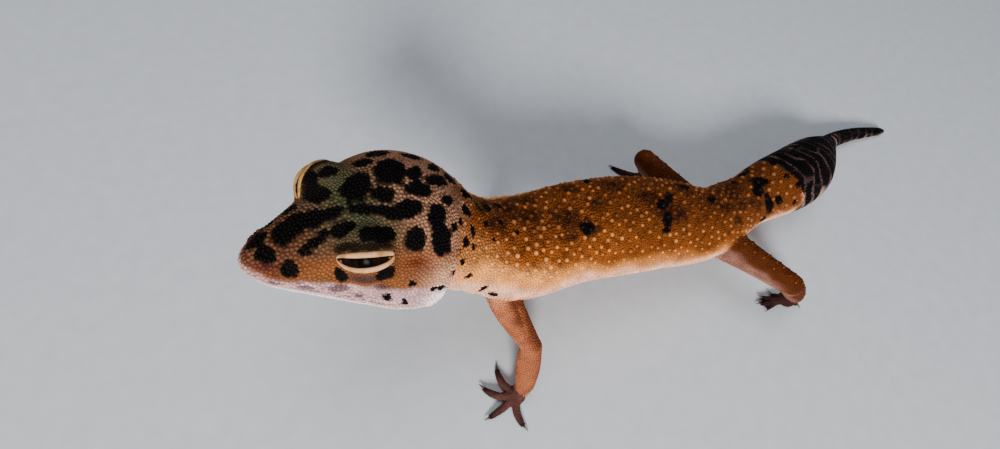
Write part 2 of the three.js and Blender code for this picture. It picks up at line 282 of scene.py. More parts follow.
def add_ball(centre, radii, turn=np.identity(3), detail=24, into=flesh):
    """A closed ball, stretched to its radii and turned."""
    matrix = (Matrix.Translation(Vector(centre)) @ Matrix(turn.tolist()).to_4x4()
              @ Matrix.Diagonal((*radii, 1)))
    bmesh.ops.create_uvsphere(into, u_segments=detail, v_segments=detail // 2, radius=1, matrix=matrix)


def add_limb_tube(points, radii, sides=20, rings=16, into=flesh):
    """A round tube along a smooth line through the points, with radii spread along it."""
    line = smooth_line(np.asarray(points, float))
    ahead = unit(np.gradient(line, axis=0))
    side = unit(np.cross(LEAN, ahead))
    up = np.cross(ahead, side)
    thickness = np.stack([np.linspace(0, 1, len(radii)), np.asarray(radii) - COAT_DEPTH], axis=1)

    def place(share, angle, reach):
        row = np.round(share * (len(line) - 1)).astype(int)
        radius = read_table(thickness, share)[:, 0] * reach
        return (line[row] + side[row] * (np.cos(angle) * radius)[:, None]
                + up[row] * (np.sin(angle) * radius)[:, None])

    add_tube(sides, rings, place, into)


# %% Head, trunk and tail in one, with a ball over each eye
BODY_SIDES = 64
BODY_RINGS = 320
add_tube(BODY_SIDES, BODY_RINGS,
         lambda share, angle, reach: body_point(share * LAST_STATION, angle, reach, -COAT_DEPTH))
EYE_LID = 0.45  # thickness of the lids
BROW_RADIUS = EYE_RADIUS + EYE_LID
SIDES = {"left": 1, "right": -1}
eye_turn = head_turn(EYE_STATION)
eye_at = {side: head_point(EYE_STATION, sign * EYE_OUT, EYE_RISE) for side, sign in SIDES.items()}
for side in SIDES:
    add_ball(eye_at[side], [BROW_RADIUS - COAT_DEPTH / 2] * 3, eye_turn)
print("Each brow is a ball of", round(BROW_RADIUS, 2), "mm radius")

# %% Limbs, each through its three joints, and digits that leave the palm at their own headings
ARM = {"upper": [3.6, 2.3, 2.1], "joint": 2.2, "lower": [2.2, 2.5, 2.0], "palm": 2.1, "wrist": 1.8}
LEG = {"upper": [4.4, 3.3, 2.6], "joint": 2.6, "lower": [2.5, 2.5, 1.8], "palm": 2.2, "wrist": 1.8}
DIGIT = [1.14, 0.96, 0.88, 0.62]  # radii from the knuckle to the tip
SHOULDER = [3.1, 2.6, 1.9]  # the chest muscle that runs out over the front of an upper arm
WRIST_END = 1.2  # radius of the wrist where it sinks into the palm
PALM_RISE = 1.0
PALM_HALF = PALM_RISE + 0.3  # half the thickness of a palm
LIMBS = {
    "hand_left": {
        "joints": [[-26.4, -7.0, 21.5], [-21.9, -20.2, 13.2], [-22.9, -25.3, 3.8]], "build": ARM,
        "palm": [-24.4, -26.2], "heading": 190,
        "spread": [-78, -36, 13, 78, 190], "lengths": [6.4, 6.8, 7.0, 6.0, 3.6],
        "bows": [0.9, 1.0, 0.3, -0.8, -0.3],
        "shoulder": [[-27.4, -7.5, 21.5], [-25.6, -13.6, 17.8], [-22.7, -19.0, 13.9]],
    },
    "hand_right": {
        "joints": [[-22, 0, 20.5], [-12.5, 10.0, 12.6], [-17.6, 14.2, 3.8]], "build": ARM,
        "palm": [-18.6, 14.8], "heading": 168,
        "spread": [72, 34, 0, -34, -70], "lengths": [4.6, 5.6, 6.0, 5.2, 4.2],
        "bows": [-0.5, -0.6, 0.2, 0.6, 0.5],
        "shoulder": [[-22.0, 0.5, 20.8], [-17.6, 4.2, 17.0], [-13.2, 9.0, 13.2]],
    },
    "foot_left": {
        "joints": [[27, -6.5, 12.8], [38.9, -20.8, 12.6], [47.2, -21.6, 3.2]], "build": LEG,
        "palm": [46.2, -21.4], "heading": 173,
        "spread": [-30, -12, 2, 17, 150], "lengths": [3.4, 6.0, 6.9, 5.8, 3.0],
        "bows": [0.4, 0.5, 0.3, -0.5, 0.3],
    },
    "foot_right": {
        "joints": [[25, -1, 14], [18.0, 15.4, 14.4], [25.8, 17.6, 3.2]], "build": LEG,
        "palm": [25.0, 18.2], "heading": 165,
        "spread": [62, 36, 10, -21, -92], "lengths": [4.6, 5.8, 7.0, 8.8, 3.6],
        "bows": [-0.4, -0.5, 0.4, 0.7, 0.4],
    },
}


def digit_point(limb, number, d, z):
    """A point d from the middle of the palm along a digit, which bows to one side, at height z."""
    away = math.radians(limb["heading"] + limb["spread"][number])
    bow = limb["bows"][number] * (1 - (2 * d / limb["lengths"][number] - 1) ** 2)
    return [limb["palm"][0] + math.cos(away) * d - math.sin(away) * bow,
            limb["palm"][1] + math.sin(away) * d + math.cos(away) * bow, z]


def digit_line(limb, number):
    """The middle line of a digit, from the palm to its tip, as four points."""
    long = limb["lengths"][number]
    steps = [(0.6, 1.1), (long * 0.5, 0.95), (long * 0.85, 0.6), (long, 0.45)]
    return np.array([digit_point(limb, number, d, z) for d, z in steps])


def add_limb(limb):
    """One whole limb: two bones' worth of flesh, the joint between, the palm and five digits."""
    root, middle, end = np.array(limb["joints"], float)
    build = limb["build"]
    add_limb_tube([root, (root + middle) / 2, middle], build["upper"])
    add_limb_tube([middle, (middle + end) / 2, end], build["lower"])
    add_ball(middle, [build["joint"] - COAT_DEPTH] * 3)
    if "shoulder" in limb:
        add_limb_tube(limb["shoulder"], SHOULDER)
    sole = np.array([*limb["palm"], PALM_RISE])
    palm = build["palm"] - COAT_DEPTH
    add_ball(sole, [palm, palm, PALM_HALF - COAT_DEPTH / 2])
    add_limb_tube([end, end + (sole - end) * 0.6, sole], [build["wrist"], build["wrist"], WRIST_END],
                  sides=16, rings=8)
    for number in range(5):
        add_limb_tube(digit_line(limb, number), DIGIT, sides=12, rings=14)


for limb in LIMBS.values():
    add_limb(limb)
print("The flesh has", len(flesh.verts), "vertices in its loose forms")

# %% [markdown]
# ## One skin over the forms
# The forms have to become one closed surface without seams. Boolean unions keep every crease where two
# forms meet, and a real animal has none there. A voxel remesh fills the forms and wraps one even mesh
# of small squares round them all, which can then be smoothed like clay at the joins.

# %% Remesh
VOXEL = 0.27  # millimetres; a digit is about seven of them across


def new_object(name, mesh):
    """A new object in the scene, at the origin."""
    made = bpy.data.objects.new(name, mesh)
    bpy.context.scene.collection.objects.link(made)
    return made


def apply_modifiers(thing):
    """Puts what an object's modifiers make into its mesh."""
    depsgraph = bpy.context.evaluated_depsgraph_get()
    mesh = bpy.data.meshes.new_from_object(thing.evaluated_get(depsgraph), depsgraph=depsgraph)
    old = thing.data
    thing.modifiers.clear()
    thing.data = mesh
    bpy.data.meshes.remove(old)


def skin_over(forms):
    """One closed mesh round all the forms, still in the tables' millimetres."""
    mesh = bpy.data.meshes.new("skin")
    bmesh.ops.recalc_face_normals(forms, faces=forms.faces)
    forms.to_mesh(mesh)
    forms.free()
    skin = new_object("skin", mesh)
    wrap = skin.modifiers.new("wrap", "REMESH")
    wrap.mode = "VOXEL"
    wrap.voxel_size = VOXEL
    apply_modifiers(skin)
    return skin


def corners_of(mesh):
    """The places of a mesh's vertices as rows."""
    flat = np.empty(len(mesh.vertices) * 3)
    mesh.vertices.foreach_get("co", flat)
    return flat.reshape(-1, 3)


def normals_of(mesh):
    """The directions that a mesh's vertices look in."""
    flat = np.empty(len(mesh.vertices) * 3, np.float32)
    mesh.vertex_normals.foreach_get("vector", flat)
    return flat.reshape(-1, 3).astype(float)


skin = skin_over(flesh)
print("The skin has", len(skin.data.polygons), "faces")

# %% [markdown]
# ## Where a point lies on the animal
# Folds, markings and scales all follow the body, so each needs to know where a point of the skin lies:
# at which station, how far round from the middle of the back, and on which limb. The nearest row of
# the axis gives the first two. A limb is a chain of tapered rods, and the rod whose surface is
# nearest, against its own radius, owns the point.

# %% Place along and round the body
axis_tree = kdtree.KDTree(len(axis_points))
for row, point in enumerate(axis_points):
    axis_tree.insert(point, row)
axis_tree.balance()


def body_place(points):
    """Station, angle from the middle of the back (left positive) and reach (1 on the surface)."""
    rows = np.array([axis_tree.find(p)[1] for p in points])
    station = rows * LAST_STATION / (len(axis_points) - 1)
    away = points - axis_points[rows]
    half, above, below, square = np.moveaxis(read_table(SECTIONS, station), -1, 0)
    across = (away * axis_left[rows]).sum(1) / half
    rise = (away * axis_up[rows]).sum(1)
    rise = rise / np.where(rise > 0, above, below)
    power = lambda v: np.sign(v) * np.abs(v) ** (square / 2)
    across, rise = power(across), power(rise)
    return station, np.arctan2(across, rise), (across**2 + rise**2) ** (1 / square)


def limb_rods(limb):
    """The rods of a limb: two ends, their radii, and how far along the limb each end counts.

    The elbow or knee counts 1, the wrist or ankle 2, and digit number n runs from 3 + n to 4 + n.
    """
    root, middle, end = np.array(limb["joints"], float)
    build = limb["build"]
    sole = np.array([*limb["palm"], PALM_RISE])
    rods = []
    for start, stop, radii, count in ((root, middle, build["upper"], 0), (middle, end, build["lower"], 1)):
        half_way = (start + stop) / 2
        rods.append((start, half_way, radii[0], radii[1], count, count + 0.5))
        rods.append((half_way, stop, radii[1], radii[2], count + 0.5, count + 1))
    if "shoulder" in limb:
        line = np.array(limb["shoulder"])
        rods += [(line[i], line[i + 1], SHOULDER[i], SHOULDER[i + 1], i / 2, i / 2 + 0.5) for i in range(2)]
    rods.append((end, sole, build["wrist"], WRIST_END, 2, 2.6))
    rods.append((sole, sole + [0.01, 0, 0], build["palm"], build["palm"], 2.6, 2.8))
    for number in range(5):
        line = digit_line(limb, number)
        for i in range(3):
            at = 3 + number + i / 3
            rods.append((line[i], line[i + 1], DIGIT[i], DIGIT[i + 1], at, at + 1 / 3))
    return rods


def limb_place(points, limb):
    """How far along a limb points lie, their reach, where they face, that way's angle, and the way ahead."""
    best = np.full(len(points), np.inf)
    along, angle = np.zeros(len(points)), np.zeros(len(points))
    outward, ahead = np.zeros((len(points), 3)), np.zeros((len(points), 3))
    for start, stop, r0, r1, from_, to in limb_rods(limb):
        rod = stop - start
        t = np.clip(((points - start) @ rod) / (rod @ rod), 0, 1)
        away = points - start - t[:, None] * rod
        reach = np.linalg.norm(away, axis=1) / (r0 + (r1 - r0) * t)
        nearer = reach < best
        best = np.where(nearer, reach, best)
        along = np.where(nearer, from_ + (to - from_) * t, along)
        outward = np.where(nearer[:, None], away, outward)
        side = unit(np.cross(LEAN, rod))
        round_rod = np.arctan2(away @ side, away @ unit(np.cross(rod, side)))
        angle = np.where(nearer, round_rod, angle)
        ahead = np.where(nearer[:, None], rod, ahead)
    return along, best, unit(outward), angle, unit(ahead)


LIMB_BLEND = 0.12


class Places:
    """Where many points lie: on the body, and on the limb that is nearest to each."""

    def __init__(self, points):
        self.points = points
        self.station, self.around, self.body_reach = body_place(points)
        found = zip(*[limb_place(points, limb) for limb in LIMBS.values()])
        along, reach, outward, angle, ahead = map(np.array, found)
        self.limb = reach.argmin(axis=0)
        pick = np.arange(len(points))
        self.limb_reach, self.along_limb = reach[self.limb, pick], along[self.limb, pick]
        self.outward, self.round_limb = outward[self.limb, pick], angle[self.limb, pick]
        self.ahead = ahead[self.limb, pick]
        # 0 on the body, 1 on a limb, and between the two where one flows into the other.
        self.on_limb = ramp(self.body_reach - self.limb_reach, -LIMB_BLEND, LIMB_BLEND)


# %% [markdown]
# ## Sculpting
# The wrapped forms are now worked as clay is. First the joins are smoothed, with bmesh's own vertex
# smoothing, most where a limb meets the body. Then the mouth line, nostrils, ear openings, eye
# openings and skin folds are pressed in, each by a short function that moves only the vertices near it.

# %% Smooth the joins
def smooth_mesh(mesh, chosen, rounds):
    """Smooths the chosen vertices of a mesh, a given number of times."""
    work = bmesh.new()
    work.from_mesh(mesh)
    work.verts.ensure_lookup_table()
    verts = [work.verts[i] for i in np.flatnonzero(chosen)]
    for _ in range(rounds):
        bmesh.ops.smooth_vert(work, verts=verts, factor=0.5,
                              use_axis_x=True, use_axis_y=True, use_axis_z=True)
    work.to_mesh(mesh)
    work.free()


SMOOTHING = {"joins": 40, "brows": 24, "body": 4, "digits": 1}  # rounds for each zone
JOIN_BAND = 0.35  # how alike the reaches of body and limb are where one flows into the other
JOIN_REACH = 1.5  # and how far out from a limb's middle, in its radii, that holds
BROW_BAND = 0.7  # millimetres in and out of the ball over an eye
BROW_SKIN = 0.12  # how near the head's own surface, in its radii
DIGITS_FROM = 2.9  # along a limb
places = Places(corners_of(skin.data))
blend_zone = (np.abs(places.body_reach - places.limb_reach) < JOIN_BAND) & (places.limb_reach < JOIN_REACH)
brow_zone = np.zeros(len(places.points), bool)
for side in SIDES:
    from_eye = np.linalg.norm(places.points - eye_at[side], axis=1)
    brow_zone |= (np.abs(from_eye - BROW_RADIUS) < BROW_BAND) & (np.abs(places.body_reach - 1) < BROW_SKIN)
digit_zone = (places.on_limb > 0.5) & (places.along_limb > DIGITS_FROM)
smooth_mesh(skin.data, blend_zone & ~digit_zone, SMOOTHING["joins"])
smooth_mesh(skin.data, brow_zone, SMOOTHING["brows"])
smooth_mesh(skin.data, ~digit_zone, SMOOTHING["body"])
smooth_mesh(skin.data, digit_zone, SMOOTHING["digits"])
print("Smoothed", int(blend_zone.sum()), "vertices where limbs meet the body")

# %% Press in the eyes, ears, nostrils, mouth and folds
# The gap between the lids looks ahead and up, not straight out, and its front corner is the lower one.
GAZE = {"ahead": 43, "up": 25, "slope": 24}  # degrees
LID_GAP = {"front": 3.1, "back": -2.9, "level": 0.3, "upper": 0.48, "lower": 0.88}
MOUTH = np.array([[0.6, -1.35], [-6.0, -1.5], [-16.0, -2.6], [-21.5, -2.2]])  # ahead of and above the snout
MOUTH_CORNER = (19.0, 22.0)  # behind the snout, where the line of the mouth fades out
MOUTH_GROOVE = 0.5
LIP_SWELLING = 0.22
EAR = {"station": 27.6, "out": 11.0, "rise": -0.6}
EAR_SLOT = {"half_width": 0.95, "half_height": 2.1, "depth": 1.9, "rim": 0.25}
NOSTRIL = {"station": 2.1, "out": 3.7, "rise": 0.9}
NOSTRIL_PIT = {"depth": 0.95, "swelling": 0.22}
NECK_FOLDS = 0.16  # depths of the folds
FLANK_FOLD = 0.22
JOWL = 0.35  # height of the swelling at the corner of the jaw


def in_axes(points, centre, turn):
    """Points as seen from a centre: forward, left, up."""
    return (points - centre) @ turn


def gaze_turn(side):
    """The turn of an eye's gap: x runs along it to its front corner, y looks out of it and z up."""
    ahead, rise, slope = (math.radians(GAZE[key]) for key in ("ahead", "up", "slope"))
    forward, outward, up = eye_turn[:, 0], eye_turn[:, 1] * SIDES[side], eye_turn[:, 2]
    look = math.cos(rise) * (math.sin(ahead) * forward + math.cos(ahead) * outward) + math.sin(rise) * up
    along = math.cos(ahead) * forward - math.sin(ahead) * outward
    over = np.cross(along, look) * SIDES[side]
    return np.stack([math.cos(slope) * along - math.sin(slope) * over, look,
                     math.cos(slope) * over + math.sin(slope) * along], axis=1)


def lid_arch(x, front, back):
    """A half round from 0 at both corners to 1 between them."""
    return np.sqrt(np.clip(1 - ((x - (front + back) / 2) / ((front - back) / 2)) ** 2, 0, 1))


def lid_edges(x):
    """The heights of the upper and lower lid's edge in the gap's own axes, at x along it."""
    arch = lid_arch(x, LID_GAP["front"], LID_GAP["back"])
    return LID_GAP["level"] + LID_GAP["upper"] * arch, LID_GAP["level"] - LID_GAP["lower"] * arch


BEHIND_BALL = 0.7  # how far inside the eyeball the skin is drawn


def open_eyes(points):
    """Draws the skin behind the eyeball between the lids."""
    for side in SIDES:
        local = in_axes(points, eye_at[side], gaze_turn(side))
        upper, lower = lid_edges(local[:, 0])
        inside = (local[:, 1] > 0) & (local[:, 2] < upper) & (local[:, 2] > lower)
        inside &= (local[:, 0] < LID_GAP["front"]) & (local[:, 0] > LID_GAP["back"])
        inside &= np.linalg.norm(local, axis=1) < BROW_RADIUS + 1.5
        depth = (EYE_RADIUS - BEHIND_BALL) / np.maximum(np.linalg.norm(local, axis=1), 0.1)
        local[inside] *= depth[inside][:, None]
        points[inside] = eye_at[side] + local[inside] @ gaze_turn(side).T
    return points


def press_pits(points):
    """Ear openings as upright slots with a soft rim, and nostrils as small pits in a low swelling."""
    for sign in SIDES.values():
        turn = head_turn(EAR["station"])
        local = in_axes(points, head_point(EAR["station"], sign * EAR["out"], EAR["rise"]), turn)
        round_slot = np.sqrt((local[:, 0] / EAR_SLOT["half_width"]) ** 2
                             + (local[:, 2] / EAR_SLOT["half_height"]) ** 2)
        near = (local[:, 1] * sign > -4) & (round_slot < 2.5)
        push = (EAR_SLOT["depth"] * (1 - ramp(round_slot, 0.45, 1.15))
                - EAR_SLOT["rim"] * np.exp(-((round_slot - 1.45) / 0.35) ** 2))
        points[near] -= np.outer(push[near] * sign, turn[:, 1])
        turn = head_turn(NOSTRIL["station"])
        centre = head_point(NOSTRIL["station"], sign * NOSTRIL["out"], NOSTRIL["rise"])
        local = in_axes(points, centre, turn)
        away = np.linalg.norm(local, axis=1)
        outward = unit(turn[:, 1] * sign + turn[:, 0] * 0.5 + turn[:, 2] * 0.3)
        push = (NOSTRIL_PIT["depth"] * (1 - ramp(away, 0.25, 0.75))
                - NOSTRIL_PIT["swelling"] * np.exp(-((away - 0.95) / 0.4) ** 2))
        near = away < 2.5
        points[near] -= np.outer(push[near], outward)
    return points


mouth_turn = head_turn(0.5)
mouth_at = head_point(0.5, 0, 0)


def mouth_height(points):
    """How far points are above the line of the mouth, and how far back from the snout they are."""
    local = in_axes(points, mouth_at, mouth_turn)
    line = np.interp(-local[:, 0], -MOUTH[:, 0], MOUTH[:, 1])
    return local[:, 2] - line, -local[:, 0]


def press_mouth(points, outward):
    """The line of the mouth: a narrow groove between full lips, fading at the corner of the jaw."""
    above, back = mouth_height(points)
    fade = 1 - ramp(back, *MOUTH_CORNER)
    groove = (MOUTH_GROOVE * np.exp(-(above / 0.22) ** 2)
              - LIP_SWELLING * np.exp(-((np.abs(above) - 0.9) / 0.5) ** 2))
    return points - outward * (groove * fade)[:, None]


def press_folds(points, outward, places):
    """Loose skin: shallow folds round the neck, along the flank and behind the shoulder."""
    station, around = places.station, np.abs(places.around)
    on_body = 1 - places.on_limb
    neck = ramp(station, 30, 33) * (1 - ramp(station, 43, 47)) * ramp(around, 0.9, 1.9)
    wave = np.sin(station * 2.1 + np.sin(around * 2.0) * 1.2)
    depth = NECK_FOLDS * neck * wave
    flank = ramp(station, 44, 52) * (1 - ramp(station, 84, 92)) * np.exp(-((around - 2.0) / 0.22) ** 2)
    depth += FLANK_FOLD * flank
    jowl = ramp(station, 21, 24) * (1 - ramp(station, 29, 32)) * np.exp(-((around - 2.2) / 0.35) ** 2)
    depth -= JOWL * jowl
    return points - outward * (depth * on_body)[:, None]


at = corners_of(skin.data)
places = Places(at)
at = press_mouth(at, normals_of(skin.data))
at = press_folds(at, normals_of(skin.data), places)
at = open_eyes(press_pits(at))
at[:, 2] = np.maximum(at[:, 2], 0.0)
skin.data.vertices.foreach_set("co", at.ravel())
skin.data.update()
print("Pressed in the openings; the skin is", round(at[:, 2].max(), 1), "mm high")

# %% [markdown]
# ## Markings
# A leopard gecko is tan and orange above and pinkish white below, with dark brown spots on the head,
# few on the back, and a tail that is black with a pale net. A picture stretched over the skin could
# carry this, but a function does it without seams or stretching: it takes the place of a point on the
# body and returns its colour. The skin and every scale ask the same function, so they always agree.

# %% Colours, as eyes see them, from 0 to 255
COLOURS = {
    # head
    "crown": (92, 66, 44), "crown_back": (144, 102, 78), "olive": (62, 62, 42), "snout": (92, 58, 38),
    "cheek": (124, 70, 34), "cheek_brown": (92, 38, 14), "under_eye_shade": (66, 42, 40), "nostril": (74, 32, 30),
    "jaw": (222, 170, 138), "lips": (190, 152, 150), "lip_spot": (66, 46, 52), "throat": (250, 232, 226),
    # neck and trunk
    "nape": (156, 98, 50), "neck": (224, 150, 80), "chest": (236, 178, 146), "back": (106, 54, 18),
    "side": (134, 70, 24), "flank": (198, 124, 60), "belly": (238, 176, 140), "spot": (7, 4, 4),
    "brown": (34, 14, 6), "tubercle": (232, 158, 88),
    # tail
    "tail_orange": (98, 50, 18), "tail_black": (7, 5, 6), "net": (100, 74, 70),
    "tail_under": (172, 138, 132),
    # limbs
    "arm": (158, 92, 60), "arm_back": (96, 50, 28), "shoulder": (186, 120, 86), "fold": (110, 46, 28),
    "leg": (78, 36, 12), "leg_front": (132, 90, 76), "under_limb": (170, 122, 104),
    "hand": (84, 52, 46), "digit_tip": (42, 28, 25),
}


def linear(rgb):
    """A colour as eyes see it, as the amounts of light that Blender counts with."""
    share = np.asarray(rgb, float) / 255
    return np.where(share < 0.04045, share / 12.92, ((share + 0.055) / 1.055) ** 2.4)


PAINT = {name: linear(rgb) for name, rgb in COLOURS.items()}


WAVES = 7
WAVE_LENGTHS = (1.4, 2.6)  # shortest and longest, in patch sizes
WAVE_SUM = 3.2  # about the height that the added waves reach


def mottle(points, size, seed):
    """Soft irregular patches of about a size, from -1 to 1, the same at the same place each time."""
    waves = np.random.default_rng(seed)
    total = np.zeros(len(points))
    for _ in range(WAVES):
        way = unit(waves.normal(size=3)) * 2 * math.pi / (size * waves.uniform(*WAVE_LENGTHS))
        total += np.sin(points @ way + waves.uniform(0, 2 * math.pi))
    return np.clip(total / WAVE_SUM, -1, 1)


def wash(colours, paint, amount):
    """Lays a paint over the colours, by an amount from 0 to 1 at each point."""
    amount = np.clip(amount, 0, 1)[..., None]
    return colours * (1 - amount) + np.asarray(paint) * amount


# %% Spots: station, degrees round from the middle of the back, length and width, and a turn in degrees
HEAD_SPOTS = [
    (4.3, -5, 4.1, 3.2, -70), (5.9, -9, 3.6, 3.0, -70), (7.4, -3, 4.0, 3.1, 14),  # snout
    (9.0, 0, 3.7, 2.3, 14),
    (1.7, -31, 2.8, 2.2, 0), (1.7, 18, 2.7, 2.2, 45), (3.6, 62, 2.6, 2.2, 85),  # nose and lip
    (6.8, 21, 3.9, 1.5, -24), (5.4, 31, 1.7, 1.5, 0), (9.5, 19, 3.3, 2.3, 0),  # in front of the eye
    (11.5, 32, 2.3, 2.0, 20), (12.4, 34, 2.4, 2.1, 0), (13.3, 35, 2.5, 2.1, 0),  # above and behind it
    (16.5, 41, 3.4, 3.2, -50),
    (8.6, 74, 2.5, 1.7, 80), (12.8, 68, 2.7, 2.4, 65),  # under the eye
    (20.6, 24, 4.2, 3.0, -60), (20.4, 33, 2.0, 2.0, 0), (20.3, 42, 4.4, 3.6, 70),  # a pair grown together
    (12.6, 11, 4.9, 1.7, 28), (14.4, 17, 3.2, 1.9, 20), (16.9, 17, 4.6, 2.8, -8),  # bar
    (15.3, 22, 2.5, 1.3, 8),
    (14.9, 4, 3.4, 2.7, 28), (12.9, -6, 5.0, 4.0, -50), (9.4, -24, 3.7, 2.8, 70),  # crown
    (10.2, -36, 2.3, 2.1, -15), (11.9, -31, 3.1, 1.4, 0), (15.5, -26, 2.9, 2.2, 13),
    (18.5, -35, 4.4, 2.8, -23), (17.6, -9, 6.2, 4.6, -50), (20.5, -5, 4.2, 2.2, -50),
    (19.6, 5, 4.7, 3.0, 0), (23.4, -3, 5.0, 2.6, -34), (22.4, -28, 3.6, 2.4, -15),
    (24.3, -20, 4.0, 1.9, -60), (23.5, 11, 3.2, 1.6, -22), (26.1, -20, 3.8, 2.2, -55),
    (28.5, -21, 3.4, 2.0, -65), (28.1, 1, 2.8, 1.9, -32), (23.6, 31, 1.8, 1.2, -28),  # nape
    (25.9, 21, 2.6, 1.2, -42), (29.7, 17, 2.2, 1.4, 73), (28.5, 31, 2.2, 1.6, 8), (30.3, 33, 1.3, 1.0, 76),
    (27.0, 42, 1.3, 0.9, 0), (29.0, 50, 1.3, 1.0, 30),
    (23.9, 67, 1.5, 1.1, 0), (21.4, 82, 1.4, 1.0, 0), (19.8, 84, 1.1, 0.8, 40),  # jaw
    (16.5, 79, 1.2, 1.1, 0), (16.6, 96, 1.2, 0.9, 70), (14.1, 94, 1.5, 1.3, 50), (25.5, 80, 1.2, 1.0, 0),
    (27.5, 74, 1.1, 0.9, 0), (31.3, 70, 1.2, 0.9, -35),
    (3.9, -62, 2.2, 2.4, 0), (6.4, -44, 2.4, 1.8, 0), (8.6, -76, 2.0, 2.2, 0),  # right side
    (13.8, -70, 2.6, 2.2, 0), (17.2, -62, 2.8, 2.8, 0), (21.3, -58, 3.2, 2.6, 0), (24.6, -48, 2.6, 2.4, 0),
    (25.6, -66, 1.6, 1.4, 0), (20.0, -82, 1.2, 1.2, 0), (16.5, -88, 1.4, 1.1, 0), (23.0, -84, 1.1, 1.2, 0),
    (28.0, -40, 1.5, 1.8, 0), (30.0, -28, 1.2, 1.6, 0), (29.2, -60, 1.1, 1.3, 0),
]
LIP_SPOTS = [
    (8.7, 92, 3.0, 1.4, -12), (5.4, 102, 2.6, 1.5), (2.4, 102, 1.6, 1.0), (12.7, 86, 2.0, 1.0, -8),
    (10.8, 98, 1.4, 1.0), (8.9, -95, 2.6, 1.4), (5.2, -100, 2.4, 1.2), (13.6, -92, 1.8, 1.1),
]
# A darker mauve patch under the near eye: painted shade below its lower lid.
UNDER_EYE_SHADE = [(10.7, 71, 4.2, 1.8)]
BODY_SPOTS = [
    (31.4, -16, 1.3, 1.8), (33.5, -22, 1.8, 1.8), (35.3, -5, 1.2, 0.9), (33.9, 20, 1.2, 0.7),  # neck
    (32.2, 4, 1.2, 1.0), (36.8, -34, 1.5, 1.5), (38.4, 8, 0.9, 0.6),
    (35.5, 89, 1.1, 2.0), (37.7, 101, 1.9, 1.8),  # chest
    (54.9, 19, 3.5, 2.9, -27),  # the large one on the back
    (74.4, 2, 3.3, 2.3, -24), (76.7, -8, 3.3, 1.8, -45), (74.5, 20, 3.7, 2.4, -63), (73.8, 32, 2.2, 1.3),
    (88.2, -12, 2.8, 1.4, -20), (62.0, -48, 2.2, 2.0), (83.0, -36, 2.4, 1.8),
    (107.0, -12, 5.4, 3.4, 14), (103.8, 5, 5.0, 3.1, -13), (105.0, -4, 3.0, 2.6),  # root of the tail
    (105.8, 41, 5.8, 3.4, 80), (109.2, 41, 3.1, 2.4, 25), (104.2, 73, 4.2, 1.5, 19),
    (108.0, -57, 6.0, 2.2, -8), (101.0, -40, 2.2, 1.6), (112.0, -70, 3.0, 2.0),
    (116.0, -34, 3.2, 1.6, -48), (114.9, 4, 1.7, 1.0), (115.3, 60, 2.2, 1.2, 63), (116.8, 29, 1.9, 1.4, -45),
]
BROWN_PATCHES = [
    (33.7, -29, 7.0, 3.4, -50), (38.2, -26, 7.0, 3.8, -24), (34.8, -3, 4.9, 2.8, -26),  # neck
    (32.1, -28, 4.0, 2.0, -57), (43.0, -10, 6.0, 3.0),
    (51.6, 4, 5.6, 4.4, 16), (50.6, 24, 4.3, 1.7), (49.1, -3, 2.4, 1.8, -20), (56.6, 22, 3.0, 2.0),  # back
    (59.3, -4, 3.4, 2.5, -17), (72.0, -8, 5.2, 3.2), (78.3, 13, 4.0, 3.0, -38), (75.0, 8, 6.0, 5.0),
    (88.2, -12, 4.9, 3.0, -20), (91.1, 4, 4.9, 2.2, 7), (96.0, -6, 5.0, 4.0), (66.0, -30, 5.0, 4.0),
    (57.0, -40, 4.4, 3.6), (46.0, -40, 5.0, 4.0), (82.0, -30, 5.0, 4.0),
    (100.0, 20, 4.0, 3.0), (98.5, -22, 7.0, 4.0), (101.5, 32, 4.0, 3.0), (96.0, 14, 4.5, 3.0),  # hips
    (93.0, 34, 3.5, 2.4),
]


SPOT_REACH = 2.2  # millimetres above and below its own plane that a spot colours


def spot_cover(points, spots, softness):
    """How far each point is covered by a list of spots, from 0 to 1."""
    cover = np.zeros(len(points))
    edge = 1 + 0.13 * mottle(points, 1.1, seed=4) + 0.07 * mottle(points, 0.5, seed=5)
    for station, degrees, length, width, *turn in spots:
        around, turn = math.radians(degrees), math.radians(turn[0] if turn else 0)
        middle = body_point(station, around)
        along = unit(body_point(station + 0.4, around) - body_point(station - 0.4, around))
        across = body_point(station, around + 0.05) - body_point(station, around - 0.05)
        across = unit(across - along * (across @ along))
        along, across = (math.cos(turn) * along + math.sin(turn) * across,
                         math.cos(turn) * across - math.sin(turn) * along)
        away = points - middle
        u, v = away @ along / (length / 2), away @ across / (width / 2)
        near = np.abs(away @ np.cross(along, across)) < SPOT_REACH
        cover = np.maximum(cover, near * (1 - ramp(np.hypot(u, v) * edge, 1 - softness, 1 + softness)))
    return cover


def lid_line(points):
    """The dark line that runs over each upper lid, above its pale rim."""
    cover = np.zeros(len(points))
    for side in SIDES:
        local = in_axes(points, eye_at[side], gaze_turn(side))
        over = local[:, 2] - lid_edges(local[:, 0])[0] + 0.12 * mottle(points, 0.9, seed=27)
        near = (local[:, 1] > -0.5) & (np.linalg.norm(local, axis=1) < BROW_RADIUS + 0.8)
        line = ramp(over, 0.62, 0.82) * (1 - ramp(over, 1.5, 1.9))
        line = line * (1 - ramp(np.abs(local[:, 0] - 0.3), 3.0, 4.2))
        cover = np.maximum(cover, near * line)
    return cover


# %% [markdown]
# ### From places to colours
# The painting goes as with a brush: a ground colour first, then one wash of paint over another. Each
# wash has an amount made of soft ramps along the body (stations, in millimetres behind the snout) and
# round it (degrees from the middle of the back), and mottling keeps its edges from being too even.

